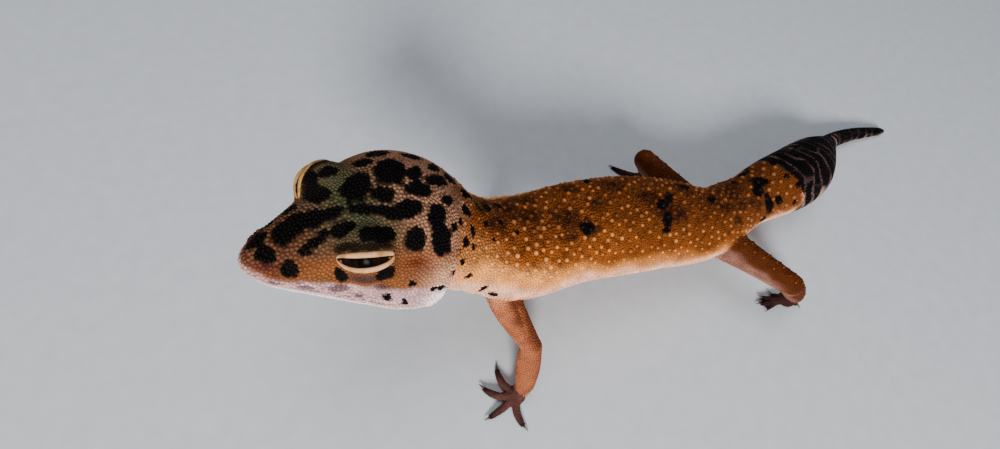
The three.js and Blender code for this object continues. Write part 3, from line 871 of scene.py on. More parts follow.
# %% The colour of the head
def head_colour(places):
    """Tan crown with an olive field between the eyes, orange cheeks, and pinkish white lips and throat."""
    p, station, around = places.points, places.station, np.degrees(np.abs(places.around))
    above_mouth, back = mouth_height(p)
    colour = np.tile(PAINT["crown"], (len(p), 1))
    colour = wash(colour, PAINT["crown_back"], ramp(station, 13, 19))
    colour = wash(colour, PAINT["snout"], (1 - ramp(station, 5, 9)) * (1 - ramp(around, 60, 80)))
    between_eyes = np.exp(-((station - 11.6) / 3.2) ** 2) * (1 - ramp(around, 30, 46))
    colour = wash(colour, PAINT["olive"], 0.95 * between_eyes)
    colour = wash(colour, PAINT["cheek"], ramp(around, 40, 62) * (0.75 + 0.25 * mottle(p, 3, seed=7)))
    behind_eye = np.exp(-((station - 17.0) / 3.0) ** 2 - ((around - 61) / 8) ** 2)
    colour = wash(colour, PAINT["cheek_brown"], 0.75 * behind_eye * (1 + 0.4 * mottle(p, 1.5, seed=8)))
    colour = wash(colour, PAINT["nape"], ramp(station, 22, 29) * ramp(around, 12, 40))
    jaw = ramp(station, 16, 23) * ramp(around, 50, 70)
    colour = wash(colour, PAINT["jaw"], jaw * (0.8 + 0.2 * mottle(p, 1.8, seed=28)))
    edge = above_mouth - 1.7 * ramp(back, 5, 13) - 0.9 * ramp(back, 13, 17) + 0.25 * mottle(p, 1.3, seed=29)
    colour = wash(colour, PAINT["lips"], (1 - ramp(edge, 0.8, 1.9)) * ramp(around, 50, 70))
    colour = wash(colour, PAINT["throat"], (1 - ramp(above_mouth, -1.4, -0.4)) * ramp(around, 75, 95))
    colour = wash(colour, PAINT["throat"], ramp(back, 18, 22) * ramp(around, 76, 92))
    round_nostril = np.exp(-((station - 1.6) / 1.6) ** 2 - ((around - 57) / 18) ** 2)
    colour = wash(colour, PAINT["nostril"], 0.92 * round_nostril)
    colour *= (1 + 0.10 * mottle(p, 1.6, seed=9) + 0.07 * mottle(p, 0.6, seed=10))[:, None]
    colour = wash(colour, PAINT["lip_spot"], 0.8 * spot_cover(p, LIP_SPOTS, 0.35))
    # Painted shade under the near eye's lower lid.
    colour = wash(colour, PAINT["under_eye_shade"], 0.85 * spot_cover(p, UNDER_EYE_SHADE, 0.4))
    colour = wash(colour, PAINT["spot"], 0.9 * lid_line(p))
    colour = wash(colour, PAINT["spot"], spot_cover(p, HEAD_SPOTS, 0.14))
    # Each nostril's pit is painted near black: painted shade inside the opening.
    for sign in SIDES.values():
        pit = head_point(NOSTRIL["station"], sign * NOSTRIL["out"], NOSTRIL["rise"])
        colour = wash(colour, PAINT["spot"], 0.9 * (1 - ramp(np.linalg.norm(p - pit, axis=1), 0.3, 0.8)))
    return colour


# %% The colours of the trunk and the tail
def body_colour(places):
    """Orange brown along the back, golden on the sides, pinkish white below."""
    p, station = places.points, places.station
    around = np.degrees(np.abs(places.around)) + 5 * mottle(p, 4, seed=11)
    front = 1 - ramp(station, 42, 62)
    belly = wash(np.tile(PAINT["belly"], (len(p), 1)), PAINT["chest"], front)
    colour = wash(np.tile(PAINT["back"], (len(p), 1)), PAINT["side"], ramp(around, 10, 50))
    flank = wash(np.tile(PAINT["flank"], (len(p), 1)), PAINT["neck"], front)
    colour = colour * (1 - 0.28 * ramp(station, 52, 74))[:, None]
    colour = wash(colour, PAINT["nape"], (1 - ramp(station, 32, 40)) * ramp(around, 8, 40))
    flank = flank * (1 - 0.16 * ramp(station, 56, 76))[:, None]
    colour = wash(colour, flank, ramp(around + 14 * front, 56, 76))
    colour = wash(colour, belly, ramp(around + front, 70, 88))
    colour *= (1 + 0.16 * mottle(p, 2.2, seed=12) + 0.08 * mottle(p, 0.8, seed=13))[:, None]
    patches = spot_cover(p, BROWN_PATCHES, 0.5) * (0.6 + 0.4 * ramp(mottle(p, 0.8, seed=14), -0.4, 0.3))
    colour = wash(colour, PAINT["brown"], 0.85 * patches)
    specks = ramp(mottle(p, 0.8, seed=15), 0.3, 0.7) * (1 - ramp(around, 45, 70)) * ramp(station, 28, 34)
    colour = wash(colour, PAINT["brown"], 0.45 * specks)
    return wash(colour, PAINT["spot"], spot_cover(p, BODY_SPOTS, 0.22))


BLACK_FROM = 116.0  # the station where the tail turns black
TAIL_RING = 3.5  # millimetres from one pale ring to the next
TIP_RINGS = ((151.0, 0.45), (153.6, 0.4))  # stations and widths of the two rings behind the tail's waist


def tail_colour(places):
    """Black rings of blocks between pale, wandering lines that widen downwards, and paler below."""
    p, station, around = places.points, places.station, places.around
    down = ramp(np.degrees(np.abs(around)) + 12 * mottle(p, 2.5, seed=19), 35, 90)
    ring = (station - BLACK_FROM) / TAIL_RING + 0.3 * mottle(p, 3.5, seed=16)
    ring_number = np.floor(ring)
    line = np.abs(ring - ring_number - 0.5) * 2
    blocks = around * 1.9 + ring_number * 2.4 + 0.4 * mottle(p, 3, seed=17)
    seam = np.abs((blocks / math.pi) % 1 - 0.5) * 2
    broken = 0.35 + 0.65 * ramp(mottle(p, 2.6, seed=18), -0.5, 0.2)
    net = np.maximum(ramp(line, 0.74 - 0.3 * down, 0.92 - 0.1 * down),
                     0.7 * ramp(seam, 0.88 - 0.2 * down, 0.98)) * broken
    colour = wash(np.tile(PAINT["tail_black"], (len(p), 1)), wash(PAINT["net"], PAINT["tail_under"], down),
                  (0.55 + 0.4 * down) * net * (1 - 0.5 * ramp(station, 138, 146)))
    pale = ramp(np.degrees(np.abs(around)) + 14 * mottle(p, 2.5, seed=19), 92, 126)
    pale = pale * (1 - 0.6 * ramp(station, 140, 150))
    colour = wash(colour, PAINT["tail_under"], 0.75 * pale)
    rings = sum(np.exp(-((station - at) / wide) ** 2) for at, wide in TIP_RINGS)
    return wash(colour, PAINT["tail_under"], 0.5 * rings * ramp(mottle(p, 2, seed=30), -0.8, 0))


# %% The colours of the limbs
IS_LEG = np.array(["foot" in name for name in LIMBS])  # for each limb


def limb_front():
    """For each limb, the level direction that its front side faces."""
    ways = []
    for limb in LIMBS.values():
        reach = np.subtract(limb["joints"][1], limb["joints"][0])
        front = unit(np.array([reach[1], -reach[0], 0.0]))
        ways.append(-front * np.sign(front[0]))
    return np.array(ways)


def limb_top(places):
    """About 1 on top and behind, 0 and less in front of and under a limb."""
    face = (places.outward * limb_front()[places.limb]).sum(1)
    return places.outward[:, 2] - 0.9 * face


def limb_colour(places):
    """Peach arms and orange brown legs, paler in front and below, with dark hands and feet,
    and painted shadow that makes the hind feet darker still.
    """
    p, along = places.points, places.along_limb
    is_leg = IS_LEG[places.limb]
    top = np.where(is_leg[:, None], PAINT["leg"], PAINT["arm"])
    top_side = limb_top(places) + 0.25 * mottle(p, 2, seed=20)
    colour = wash(top, PAINT["arm_back"], ramp(top_side, 0.1, 1.2) * np.where(is_leg, 0.0, 1.0))
    thigh = (1 - ramp(along, 0.7, 1.05)) * is_leg * (p[:, 1] < 0)
    colour = wash(colour, PAINT["leg_front"], (1 - ramp(top_side, -0.8, 0.1)) * thigh)
    root = (1 - ramp(along + 0.1 * mottle(p, 1.5, seed=32), 0.2, 0.62)) * ~is_leg
    colour = wash(colour, PAINT["shoulder"], root * (1 - ramp(top_side, 0.5, 1.0)))
    colour = wash(colour, PAINT["fold"], 0.8 * root * ramp(top_side, 1.0, 1.4))
    below = 1 - ramp(places.outward[:, 2] + 0.2 * mottle(p, 2, seed=21), -0.55, 0.05)
    colour = wash(colour, PAINT["under_limb"], below * np.where(is_leg, 0.45, 0.85))
    colour *= (1 + 0.12 * mottle(p, 1.4, seed=22))[:, None]
    hand = np.tile(PAINT["hand"], (len(p), 1))
    hand = wash(hand, PAINT["digit_tip"], ramp(along % 1, 0.3, 0.95) * (along > 3))
    # Painted shadow: the colours of the hind feet are halved.
    hand *= ((1 + 0.15 * mottle(p, 0.9, seed=23)) * np.where(is_leg, 0.5, 1.0))[:, None]
    return wash(colour, hand, ramp(along + 0.12 * mottle(p, 1.2, seed=24), 1.98, 2.16))


# %% Head, body, tail and limbs, each washed over the last
DARKEST = 0.0008
LIGHTEST = 0.95


def markings(places):
    """The colour of the animal at many places, as amounts of light."""
    p, station, degrees = places.points, places.station, np.degrees(places.around)
    colour = head_colour(places)
    nape = ramp(station + 1.6 * mottle(p, 2.5, seed=25), 23, 31)
    colour = wash(colour, body_colour(places), nape * (1 - spot_cover(p, HEAD_SPOTS, 0.2)))
    root = ramp(station, 90, 100) * (1 - ramp(np.abs(degrees), 70, 100))
    root = root * (0.75 + 0.25 * mottle(p, 1.2, seed=31)) * (1 - 0.7 * spot_cover(p, BROWN_PATCHES, 0.5))
    colour = wash(colour, wash(colour, PAINT["tail_orange"], root), 1 - spot_cover(p, BODY_SPOTS, 0.2))
    edge = station + 0.9 * mottle(p, 2.4, seed=26) - 2.1 * ramp(degrees, 5, 55)
    border = np.exp(-((edge - BLACK_FROM + 0.4) / 0.4) ** 2) * ramp(degrees, 25, 50)
    colour = wash(colour, PAINT["belly"], 0.5 * border * ramp(mottle(p, 1.0, seed=33), -0.5, 0.2))
    colour = wash(colour, tail_colour(places), ramp(edge, BLACK_FROM, BLACK_FROM + 0.6))
    armpit = (1 - ramp(places.limb_reach, 1.0, 1.8)) * (places.along_limb < 0.6) * ~IS_LEG[places.limb]
    colour = wash(colour, PAINT["shoulder"], 0.6 * armpit * ramp(np.abs(degrees), 60, 80))
    return np.clip(wash(colour, limb_colour(places), places.on_limb), DARKEST, LIGHTEST)


places = Places(corners_of(skin.data))
print("The coat can grow at", len(places.points), "points of the skin")

# %% [markdown]
# ## The coat of scales
# Gecko skin is a pavement of thousands of tiny domes, with rows of larger cones, the tubercles, along
# the back. Bump in a material would lie flat at the outline, so every scale is a small solid mesh. One
# dome is made with bmesh and copied as an array to each place. The places are picked from the dense
# skin so that no two are closer than the local grain of the coat, then pushed apart a few times, which
# packs them the way real scales pack.

# %% The grain of the coat: how far apart scales are, in millimetres
GRAIN = {"snout": 0.52, "head": 0.50, "lids": 0.36, "back": 0.48, "belly": 0.62, "tail": 0.52,
         "limb": 0.46, "foot": 0.37}
GRAIN_ALONG = [(0, "snout"), (4, "snout"), (14, "head"), (30, "head"), (36, "back"), (110, "back"),
               (120, "tail"), (150, "tail"), (174, "foot")]  # stations, and the grain there


def grain(places):
    """The distance between neighbouring scales at many places."""
    station, around = places.station, np.degrees(np.abs(places.around))
    size = np.interp(station, [at for at, _ in GRAIN_ALONG], [GRAIN[part] for _, part in GRAIN_ALONG])
    belly = ramp(around, 88, 108) * ramp(station, 33, 40)
    size = size + (GRAIN["belly"] - size) * belly
    for side in SIDES:
        from_eye = np.linalg.norm(places.points - eye_at[side], axis=1)
        size = size + (GRAIN["lids"] - size) * (1 - ramp(from_eye, BROW_RADIUS - 0.2, BROW_RADIUS + 0.9))
    limb = np.interp(places.along_limb, [1.8, 2.4, 3.2], [GRAIN["limb"], GRAIN["foot"], GRAIN["foot"] * 0.9])
    return size + (limb - size) * places.on_limb


def tree_of(points):
    """A search tree over points."""
    tree = kdtree.KDTree(len(points))
    for number, point in enumerate(points):
        tree.insert(point, number)
    tree.balance()
    return tree


def pick_spread(points, apart, order, taken=None):
    """Numbers of points that lie at least their own distance apart, taken in the order given."""
    tree = tree_of(points)
    free = np.ones(len(points), bool) if taken is None else ~taken
    chosen = []
    for number in order:
        if free[number]:
            chosen.append(number)
            for _, other, _ in tree.find_range(points[number], apart[number]):
                free[other] = False
    return np.array(chosen)


NEIGHBOURS = 6
PUSH = 0.3  # share of the lacking distance that a neighbour pushes in one round


def relax(points, apart, surface, rounds=3):
    """Pushes crowded points apart along the surface, and gives their places and the surface's normals."""
    for _ in range(rounds):
        tree = tree_of(points)
        moved = points.copy()
        for number, point in enumerate(points):
            for near, _, distance in tree.find_n(point, NEIGHBOURS + 1)[1:]:
                lack = apart[number] - distance
                if lack > 0:
                    moved[number] += (point - np.array(near)) * (PUSH * lack / max(distance, 0.05))
        points = np.array([surface.find_nearest(p)[0] for p in moved])
    return points, np.array([surface.find_nearest(p)[1] for p in points])


# %% The lines that the lids' rims will follow, where no scale may grow
RIM = {"front": 3.5, "back": -3.45, "level": 0.22, "upper": 0.92, "lower": -1.12}
RIM_WIDTH = {"upper": 0.37, "lower": 0.35}
RIM_DEPTH = 0.26
RIM_SINK = 0.08  # how far the rims' middle lines lie inside the ball of the lids
RIM_RINGS = 120
RIM_SMOOTHING = 21  # neighbouring points of the line that are averaged


def rim_line(side, lid):
    """The middle line of a lid's rim, the way out of the eye along it, and the way across it."""
    share = np.linspace(0, 1, RIM_RINGS + 1)
    x = RIM["front"] + (RIM["back"] - RIM["front"]) * (0.5 - 0.5 * np.cos(share * math.pi))
    z = RIM["level"] + RIM[lid] * lid_arch(x, RIM["front"], RIM["back"]) ** 0.85
    reach = BROW_RADIUS - RIM_SINK
    y = np.sqrt(np.clip(reach ** 2 - x ** 2 - z ** 2, 0.1, None))
    turn = gaze_turn(side)
    way = unit(np.stack([x, y, z], axis=1)) @ turn.T
    found = []
    for step in way:
        hit = surface.ray_cast(Vector(eye_at[side] + step * 9), Vector(-step))[0]
        distance = np.linalg.norm(np.array(hit) - eye_at[side]) if hit else reach
        found.append(np.clip(distance, reach - 0.1, reach + 1.2))
    smooth = np.convolve(np.pad(found, RIM_SMOOTHING // 2, mode="edge"),
                         np.ones(RIM_SMOOTHING) / RIM_SMOOTHING, mode="valid")
    line = eye_at[side] + way * smooth[:, None]
    ahead = unit(np.gradient(line, axis=0))
    return line, way, unit(np.cross(ahead, way))


surface = BVHTree.FromPolygons([v.co for v in skin.data.vertices], [f.vertices for f in skin.data.polygons])
rim_lines = {(side, lid): rim_line(side, lid) for side in SIDES for lid in ("upper", "lower")}
print("Laid out", len(rim_lines), "rims")

# %% Pick the places of the tubercles
def on_eye(points):
    """Points that lie in the gap between the lids, behind the eyeball's surface or under a rim."""
    inside = np.zeros(len(points), bool)
    for side in SIDES:
        inside |= np.linalg.norm(points - eye_at[side], axis=1) < EYE_RADIUS + 0.12
    rims = tree_of(np.vstack([line[0] for line in rim_lines.values()]))
    return inside | np.array([rims.find(p)[2] < RIM_WIDTH["upper"] + 0.06 for p in points])


LEG_TUBERCLE = 0.74  # widths in millimetres
LEAST_TUBERCLE = 0.35
TUBERCLE_GAP = 1.45
# First and last station, the step between rows, and the degrees between neighbours in a row.
TUBERCLE_ROWS = ((24, 98.5, 1.75, 12.5), (100, 117.5, 2.4, 23))


def tubercle_size(places):
    """The width of a tubercle at many places, in millimetres, and 0 where there are none."""
    station, around, p = places.station, np.degrees(np.abs(places.around)), places.points
    back = ramp(station, 30, 38) * (1 - ramp(station, 115.5, 117)) * (1 - ramp(around, 66, 84))
    nape = 0.62 * ramp(station, 20, 27) * (1 - ramp(station, 30, 36)) * (1 - ramp(around, 55, 78))
    size = (1.05 + 0.28 * ramp(station, 98, 104)) * back * (1 - 0.35 * ramp(around, 45, 75)) + nape
    leg = LEG_TUBERCLE * IS_LEG[places.limb] * (1 - ramp(places.along_limb, 1.6, 1.9))
    size = size + (leg * ramp(limb_top(places), 0.3, 0.6) - size) * places.on_limb
    return np.where(size > LEAST_TUBERCLE, size, 0)


def tubercle_rows():
    """Staggered rows of places along the back, wider apart on the root of the tail."""
    found = []
    for first, last, step, turn in TUBERCLE_ROWS:
        for row, station in enumerate(np.arange(first, last, step)):
            found += [(station, degrees + row % 2 * turn / 2) for degrees in np.arange(-90, 90, turn)]
    station, degrees = (np.array(found) + draw.normal(size=(len(found), 2)) * [0.24, 2.0]).T
    return np.array([surface.find_nearest(p)[0] for p in body_point(station, np.radians(degrees))])


draw = np.random.default_rng(31)
order = draw.permutation(len(places.points))
rows = Places(tubercle_rows())
on_back = (tubercle_size(rows) > 0) & (rows.on_limb < 0.3)
possible = tubercle_size(places)
leg_order = [number for number in order if places.on_limb[number] > 0.5 and possible[number] > 0]
on_legs = pick_spread(places.points, 1.4 + 0.3 * possible, leg_order)
cone_at = np.vstack([rows.points[on_back], places.points[on_legs]])
cone_at, cone_out = relax(cone_at, np.full(len(cone_at), TUBERCLE_GAP), surface, 2)
cones = Places(cone_at)
cone_sizes = tubercle_size(cones) * draw.uniform(0.85, 1.15, len(cone_at))
print(int(on_back.sum()), "tubercles on the body and", len(on_legs), "on the legs")

# %% The small scales grow between the tubercles, but not on the eyes or under a foot
CLOSEST = 0.8  # of the spacing, before the scales push each other apart
BARE_ROUND_CONE = (0.42, 0.22)  # shares of the tubercle's width and of the spacing that stay free
FLOOR_MARGIN = 0.02
cone_tree = tree_of(cone_at)
spacing = grain(places)
covered = on_eye(places.points) | (places.points[:, 2] < FLOOR_MARGIN)
for number, point in enumerate(places.points):
    _, nearest, distance = cone_tree.find(point)
    if distance < BARE_ROUND_CONE[0] * cone_sizes[nearest] + BARE_ROUND_CONE[1] * spacing[number]:
        covered[number] = True
scale_numbers = pick_spread(places.points, CLOSEST * spacing, order, covered)
scale_at, scale_out = relax(places.points[scale_numbers], spacing[scale_numbers], surface)
scales = Places(scale_at)
print(len(scale_at), "small scales")

# %% [markdown]
# ### One scale, many times
# A small scale is a six-sided dome: a cone without its point, and a raised middle. A tubercle is a
# profile spun round the upright. Both have their foot sunk into the skin. Copies are laid by numbers:
# every copy's corners are the master's corners, turned to stand on the skin and to lie along the body.
# Each copy also gets a tiny patch on the map named OFBake, at its root's place on the unrolled skin,
# so that a baked picture of the skin's colours fits every scale.

# %% The two masters
def scale_master():
    """A low six-sided dome, one unit in radius and height, its foot below zero."""
    dome = bmesh.new()
    made = bmesh.ops.create_cone(dome, cap_ends=True, segments=6, radius1=1.0, radius2=0.74, depth=1.0)
    bmesh.ops.translate(dome, verts=made["verts"], vec=(0, 0, 0.12))
    top = max(dome.faces, key=lambda face: face.calc_center_median().z)
    crown = bmesh.ops.poke(dome, faces=[top])["verts"]
    bmesh.ops.translate(dome, verts=crown, vec=(0, 0, 0.38))
    return dome


def tubercle_master():
    """A blunt cone with a swollen foot, spun from its profile."""
    cone = bmesh.new()
    profile = [cone.verts.new((r, 0, z)) for r, z in ((1.0, -0.3), (0.92, 0.2), (0.62, 0.62), (0.28, 0.92))]
    edges = [cone.edges.new(pair) for pair in zip(profile, profile[1:])]
    bmesh.ops.spin(cone, geom=profile + edges, axis=(0, 0, 1), steps=8, angle=2 * math.pi, use_merge=True)
    bmesh.ops.remove_doubles(cone, verts=cone.verts, dist=1e-4)
    caps = bmesh.ops.holes_fill(cone, edges=[e for e in cone.edges if e.is_boundary])["faces"]
    top = max(caps, key=lambda face: face.calc_center_median().z)
    crown = bmesh.ops.poke(cone, faces=[top])["verts"]
    bmesh.ops.translate(cone, verts=crown, vec=(0, 0, 0.1))
    bmesh.ops.recalc_face_normals(cone, faces=cone.faces)
    return cone


print("Each scale has", len(scale_master().faces), "faces")

# %% Laying copies on the skin
def lie_of(places):
    """The way the scales point: towards the tip of the tail, or of the limb."""
    _, forward, _, _ = axis_at(places.station)
    return unit(-forward * (1 - places.on_limb)[:, None] + places.ahead * places.on_limb[:, None])


BAKE_PATCH = 0.003
BAKE_BORDER = 0.004
LIMB_END = 8  # how far along a limb its last digit ends, as Places counts it
FOOT_PAINTED_SHADE = 0.74  # brightness of a scale's foot: painted shade between the scales
TIP_PAINTED_LIGHT = 0.34  # and how much its top is brighter: painted light


def bake_spots(places, first, last):
    """The places of scale roots on the unrolled skin, as a map from 0 to 1."""
    body = np.stack([(places.station - first) / (last - first), places.around / (2 * math.pi) + 0.5], axis=1)
    limb = np.stack([places.along_limb / LIMB_END, places.round_limb / (2 * math.pi) + 0.5], axis=1)
    spots = np.where((places.on_limb > 0.5)[:, None], limb, body)
    return BAKE_BORDER + (1 - 2 * BAKE_BORDER) * np.clip(spots, 0, 1)


def store_colours(mesh, colours):
    """Keeps a colour for every vertex of a mesh, for its material to read."""
    layer = mesh.color_attributes.new("Markings", "FLOAT_COLOR", "POINT")
    solid = np.c_[np.clip(colours, 0, 1), np.ones(len(colours))]
    layer.data.foreach_set("color", solid.astype(np.float32).ravel())


def lay_copies(name, master, at, out, lie, sizes, heights, tilt, colours, spots):
    """One mesh of many copies of a master, each stood on the skin with its own size, tint and map patch."""
    master.verts.ensure_lookup_table()
    corners = np.array([v.co for v in master.verts])
    loops = np.array([v.index for f in master.faces for v in f.verts])
    starts = np.cumsum([0] + [len(f.verts) for f in master.faces])[:-1]
    count, each = len(at), len(corners)
    along = unit(lie - out * (lie * out).sum(1)[:, None])
    across = np.cross(out, along)
    x, y, z = corners[:, 0], corners[:, 1], corners[:, 2]
    rise = z * heights[:, None] + x * sizes[:, 0][:, None] * np.tan(tilt)[:, None]
    shape = (at[:, None] + along[:, None] * (x * sizes[:, 0][:, None])[..., None]
             + across[:, None] * (y * sizes[:, 1][:, None])[..., None] + out[:, None] * rise[..., None])
    mesh = bpy.data.meshes.new(name)
    mesh.vertices.add(count * each)
    mesh.vertices.foreach_set("co", placed(shape.reshape(-1, 3)).ravel())
    mesh.loops.add(count * len(loops))
    mesh.loops.foreach_set("vertex_index", (loops + each * np.arange(count)[:, None]).ravel())
    mesh.polygons.add(count * len(starts))
    mesh.polygons.foreach_set("loop_start", (starts + len(loops) * np.arange(count)[:, None]).ravel())
    mesh.update(calc_edges=True)
    mesh.shade_smooth()
    low, high = z.min(), z.max()
    lift = (z - low) / (high - low)
    # One colour for each copy gets painted shade at its foot and painted light at its top;
    # colours for every vertex are kept.
    shade = colours
    if colours.ndim == 2:
        shade = colours[:, None] * (FOOT_PAINTED_SHADE + TIP_PAINTED_LIGHT * lift)[None, :, None]
    store_colours(mesh, shade.reshape(-1, 3))
    patch = corners[loops][:, :2] / np.abs(corners[:, :2]).max() * BAKE_PATCH / 2
    mesh.uv_layers.new(name="OFBake")
    mesh.uv_layers["OFBake"].uv.foreach_set("vector", (spots[:, None] + patch).ravel())
    return new_object(name, mesh)


# %% The pavement of small scales, piece by piece
COAT_PIECES = {
    "scales_head": ("head_skin", 0, 30), "scales_front": ("body_skin", 30, 62),
    "scales_back": ("body_skin", 62, 112), "scales_tail": ("tail_skin", 112, LAST_STATION + 1),
}
TINT = (0.93, 1.06)  # no two scales have quite the same tone
# Half length, half width and height in spacings, and tilt in degrees; those of the belly are longer,
# lower and lie more like tiles.
SCALE_SHAPE = {"long": 0.62, "wide": 0.6, "high": 0.32, "tilt": -4}
BELLY_CHANGE = {"long": 0.08, "high": -0.12, "tilt": -8}
scale_colours = markings(scales) * draw.uniform(*TINT, (len(scale_at), 1))
scale_spacing = grain(scales)
belly_share = ramp(np.abs(scales.around), 1.5, 1.9) * ramp(scales.station, 33, 40) * (1 - scales.on_limb)
scale_long, scale_high, scale_lean = (SCALE_SHAPE[key] + BELLY_CHANGE[key] * belly_share
                                      for key in ("long", "high", "tilt"))
scale_sizes = np.stack([scale_spacing * scale_long, scale_spacing * SCALE_SHAPE["wide"]], axis=1)
scale_heights = scale_spacing * scale_high
scale_tilt = np.radians(scale_lean)
coat = []


def lay_scales(name, chosen, first=0, last=1):
    """One piece of the coat from the chosen small scales."""
    some = Places(scale_at[chosen])
    piece = lay_copies(name, scale_master(), scale_at[chosen], scale_out[chosen], lie_of(some),
                       scale_sizes[chosen], scale_heights[chosen], scale_tilt[chosen],
                       scale_colours[chosen], bake_spots(some, first, last))
    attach(piece, "root")
    coat.append(piece)
    triangles = sum(len(f.vertices) - 2 for f in piece.data.polygons)
    print(name, "has", int(chosen.sum()), "scales and", triangles, "triangles")


for name, (slot, first, last) in COAT_PIECES.items():
    chosen = (scales.on_limb <= 0.5) & (scales.station >= first) & (scales.station < last)
    lay_scales(name, chosen, first, last)
for number, limb_name in enumerate(LIMBS):
    lay_scales("scales_" + limb_name, (scales.on_limb > 0.5) & (scales.limb == number))

# %% The tubercles, pale at the tip, with painted shade at the foot and on the far side
CONE_LONG, CONE_WIDE, CONE_HIGH = 0.54, 0.5, 0.42  # half length, half width and height, in widths
TUBERCLE_TILT = math.radians(-6)
PALEST = 0.78
LIGHTNESS = [0.3, 0.6, 0.1]  # how much red, green and blue count in the lightness of a colour
cone_colours = markings(cones)
bright = ramp(cone_colours @ LIGHTNESS, 0.015, 0.12)
bright = bright * (1 - 0.75 * spot_cover(cones.points, BROWN_PATCHES, 0.4))
cone_master = tubercle_master()
cone_lift = np.array([v.co.z for v in cone_master.verts])
# Painted shade: tubercles on the animal's right, the side away from the light, are less pale.
near_side_painted_light = 0.6 + 0.4 * ramp(np.degrees(cones.around), -40, 10)
paleness_with_painted_light = PALEST * bright * near_side_painted_light * draw.uniform(0.45, 1.0, len(cone_at))
pale_tip_with_painted_light = ramp(cone_lift, 0.25, 0.9)[None, :] * paleness_with_painted_light[:, None]
cone_shades = cone_colours[:, None] * (1 - pale_tip_with_painted_light[..., None]) + PAINT["tubercle"] * pale_tip_with_painted_light[..., None]
# Painted shade: each tubercle's colour is darkened to about half at its foot, where it sinks into the coat.
cone_shades *= (0.55 + 0.45 * ramp(cone_lift, -0.2, 0.5))[None, :, None]
cone_shape = np.stack([cone_sizes * CONE_LONG, cone_sizes * CONE_WIDE], axis=1)
back_cones = lay_copies("tubercles", cone_master, cone_at, cone_out, lie_of(cones),
                        cone_shape, cone_sizes * CONE_HIGH,
                        np.full(len(cone_at), TUBERCLE_TILT), cone_shades,
                        bake_spots(cones, 0, LAST_STATION))
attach(back_cones, "root")
coat.append(back_cones)
print("tubercles:", len(cone_at), "and", len(back_cones.data.polygons), "faces")

# %% [markdown]
# ## Finishing the skin
# The remeshed skin has far more squares than it needs under a coat of scales. Decimate merges the ones
# that add least, which keeps the outline. The colours are asked for again at the vertices that are left,
# with painted shade that makes them a little darker than the scales, because what shows between scales
# lies deep in the coat.

# %% Fewer faces, markings, and into the frame
SKIN_SHARE = 0.5
SKIN_PAINTED_SHADE = 0.7
thin = skin.modifiers.new("thin", "DECIMATE")
thin.ratio = SKIN_SHARE
apply_modifiers(skin)
skin_at = corners_of(skin.data)
# Painted shade: the skin's colours are darkened where it shows deep between the scales.
skin_colours = markings(Places(skin_at)) * SKIN_PAINTED_SHADE
behind_lids = np.zeros(len(skin_at), bool)
for side in SIDES:
    local = in_axes(skin_at, eye_at[side], gaze_turn(side))
    away = np.linalg.norm(local, axis=1)
    upper, lower = lid_edges(local[:, 0])
    in_gap = (local[:, 1] > 0) & (local[:, 2] < upper + 0.35) & (local[:, 2] > lower - 0.35)
    in_gap &= (away < BROW_RADIUS + 0.6) & (np.abs(local[:, 0]) < RIM["front"])
    behind_lids |= (away < EYE_RADIUS - 0.1) | in_gap
# Near black in the lids' gap: partly the lids' dark inner edge, partly painted shade deep in the eye.
skin_colours[behind_lids] = linear((24, 14, 12))
store_colours(skin.data, skin_colours)
skin.data.vertices.foreach_set("co", placed(skin_at).ravel())
skin.data.update()
skin.data.shade_smooth()
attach(skin, "root")
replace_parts(skin, *[name for name in frame["nodes"] if not name.startswith(("eye", "ear", "claw"))])
print("The finished skin has", len(skin.data.polygons), "faces")

# %% [markdown]
# ## Eyes and their lids
# The animal squints: between two pale, rounded lids only a dark crescent of eye shows. Each eye is a
# full ball as large as a real one, so it looks right from every side. The ball carries its own place as
# an attribute, and the material draws iris and upright pupil from that. The lids' rims are tubes that
# follow the gap, flattened on the ball and thinned to the corners.

# %% Eyeballs
def piece_from(form, name):
    """Turns a finished bmesh, drawn in the tables' millimetres, into a piece that rides on the root."""
    mesh = bpy.data.meshes.new(name)
    bmesh.ops.recalc_face_normals(form, faces=form.faces)
    form.to_mesh(mesh)
    form.free()
    mesh.vertices.foreach_set("co", placed(corners_of(mesh)).ravel())
    mesh.update()
    mesh.shade_smooth()
    piece = new_object(name, mesh)
    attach(piece, "root")
    return piece


def make_eyeball(side):
    """One eyeball, whose vertices know where they lie as seen along its gaze."""
    ball = bmesh.new()
    add_ball(eye_at[side], [EYE_RADIUS] * 3, gaze_turn(side), detail=48, into=ball)
    eyeball = piece_from(ball, "eyeball_" + side)
    local = in_axes(corners_of(eyeball.data) / MM - SHIFT, eye_at[side], gaze_turn(side)) / EYE_RADIUS
    eyeball.data.attributes.new("gaze", "FLOAT_VECTOR", "POINT").data.foreach_set("vector", local.ravel())
    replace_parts(eyeball, "eye_" + side)
    return eyeball


eyeballs = [make_eyeball(side) for side in SIDES]
print("Each eyeball is", 2 * EYE_RADIUS, "mm across")

# %% Lids: the rims of the gap
RIM_SIDES = 16
LID_NOTCHES = 24
NOTCH_DEPTH = 0.01


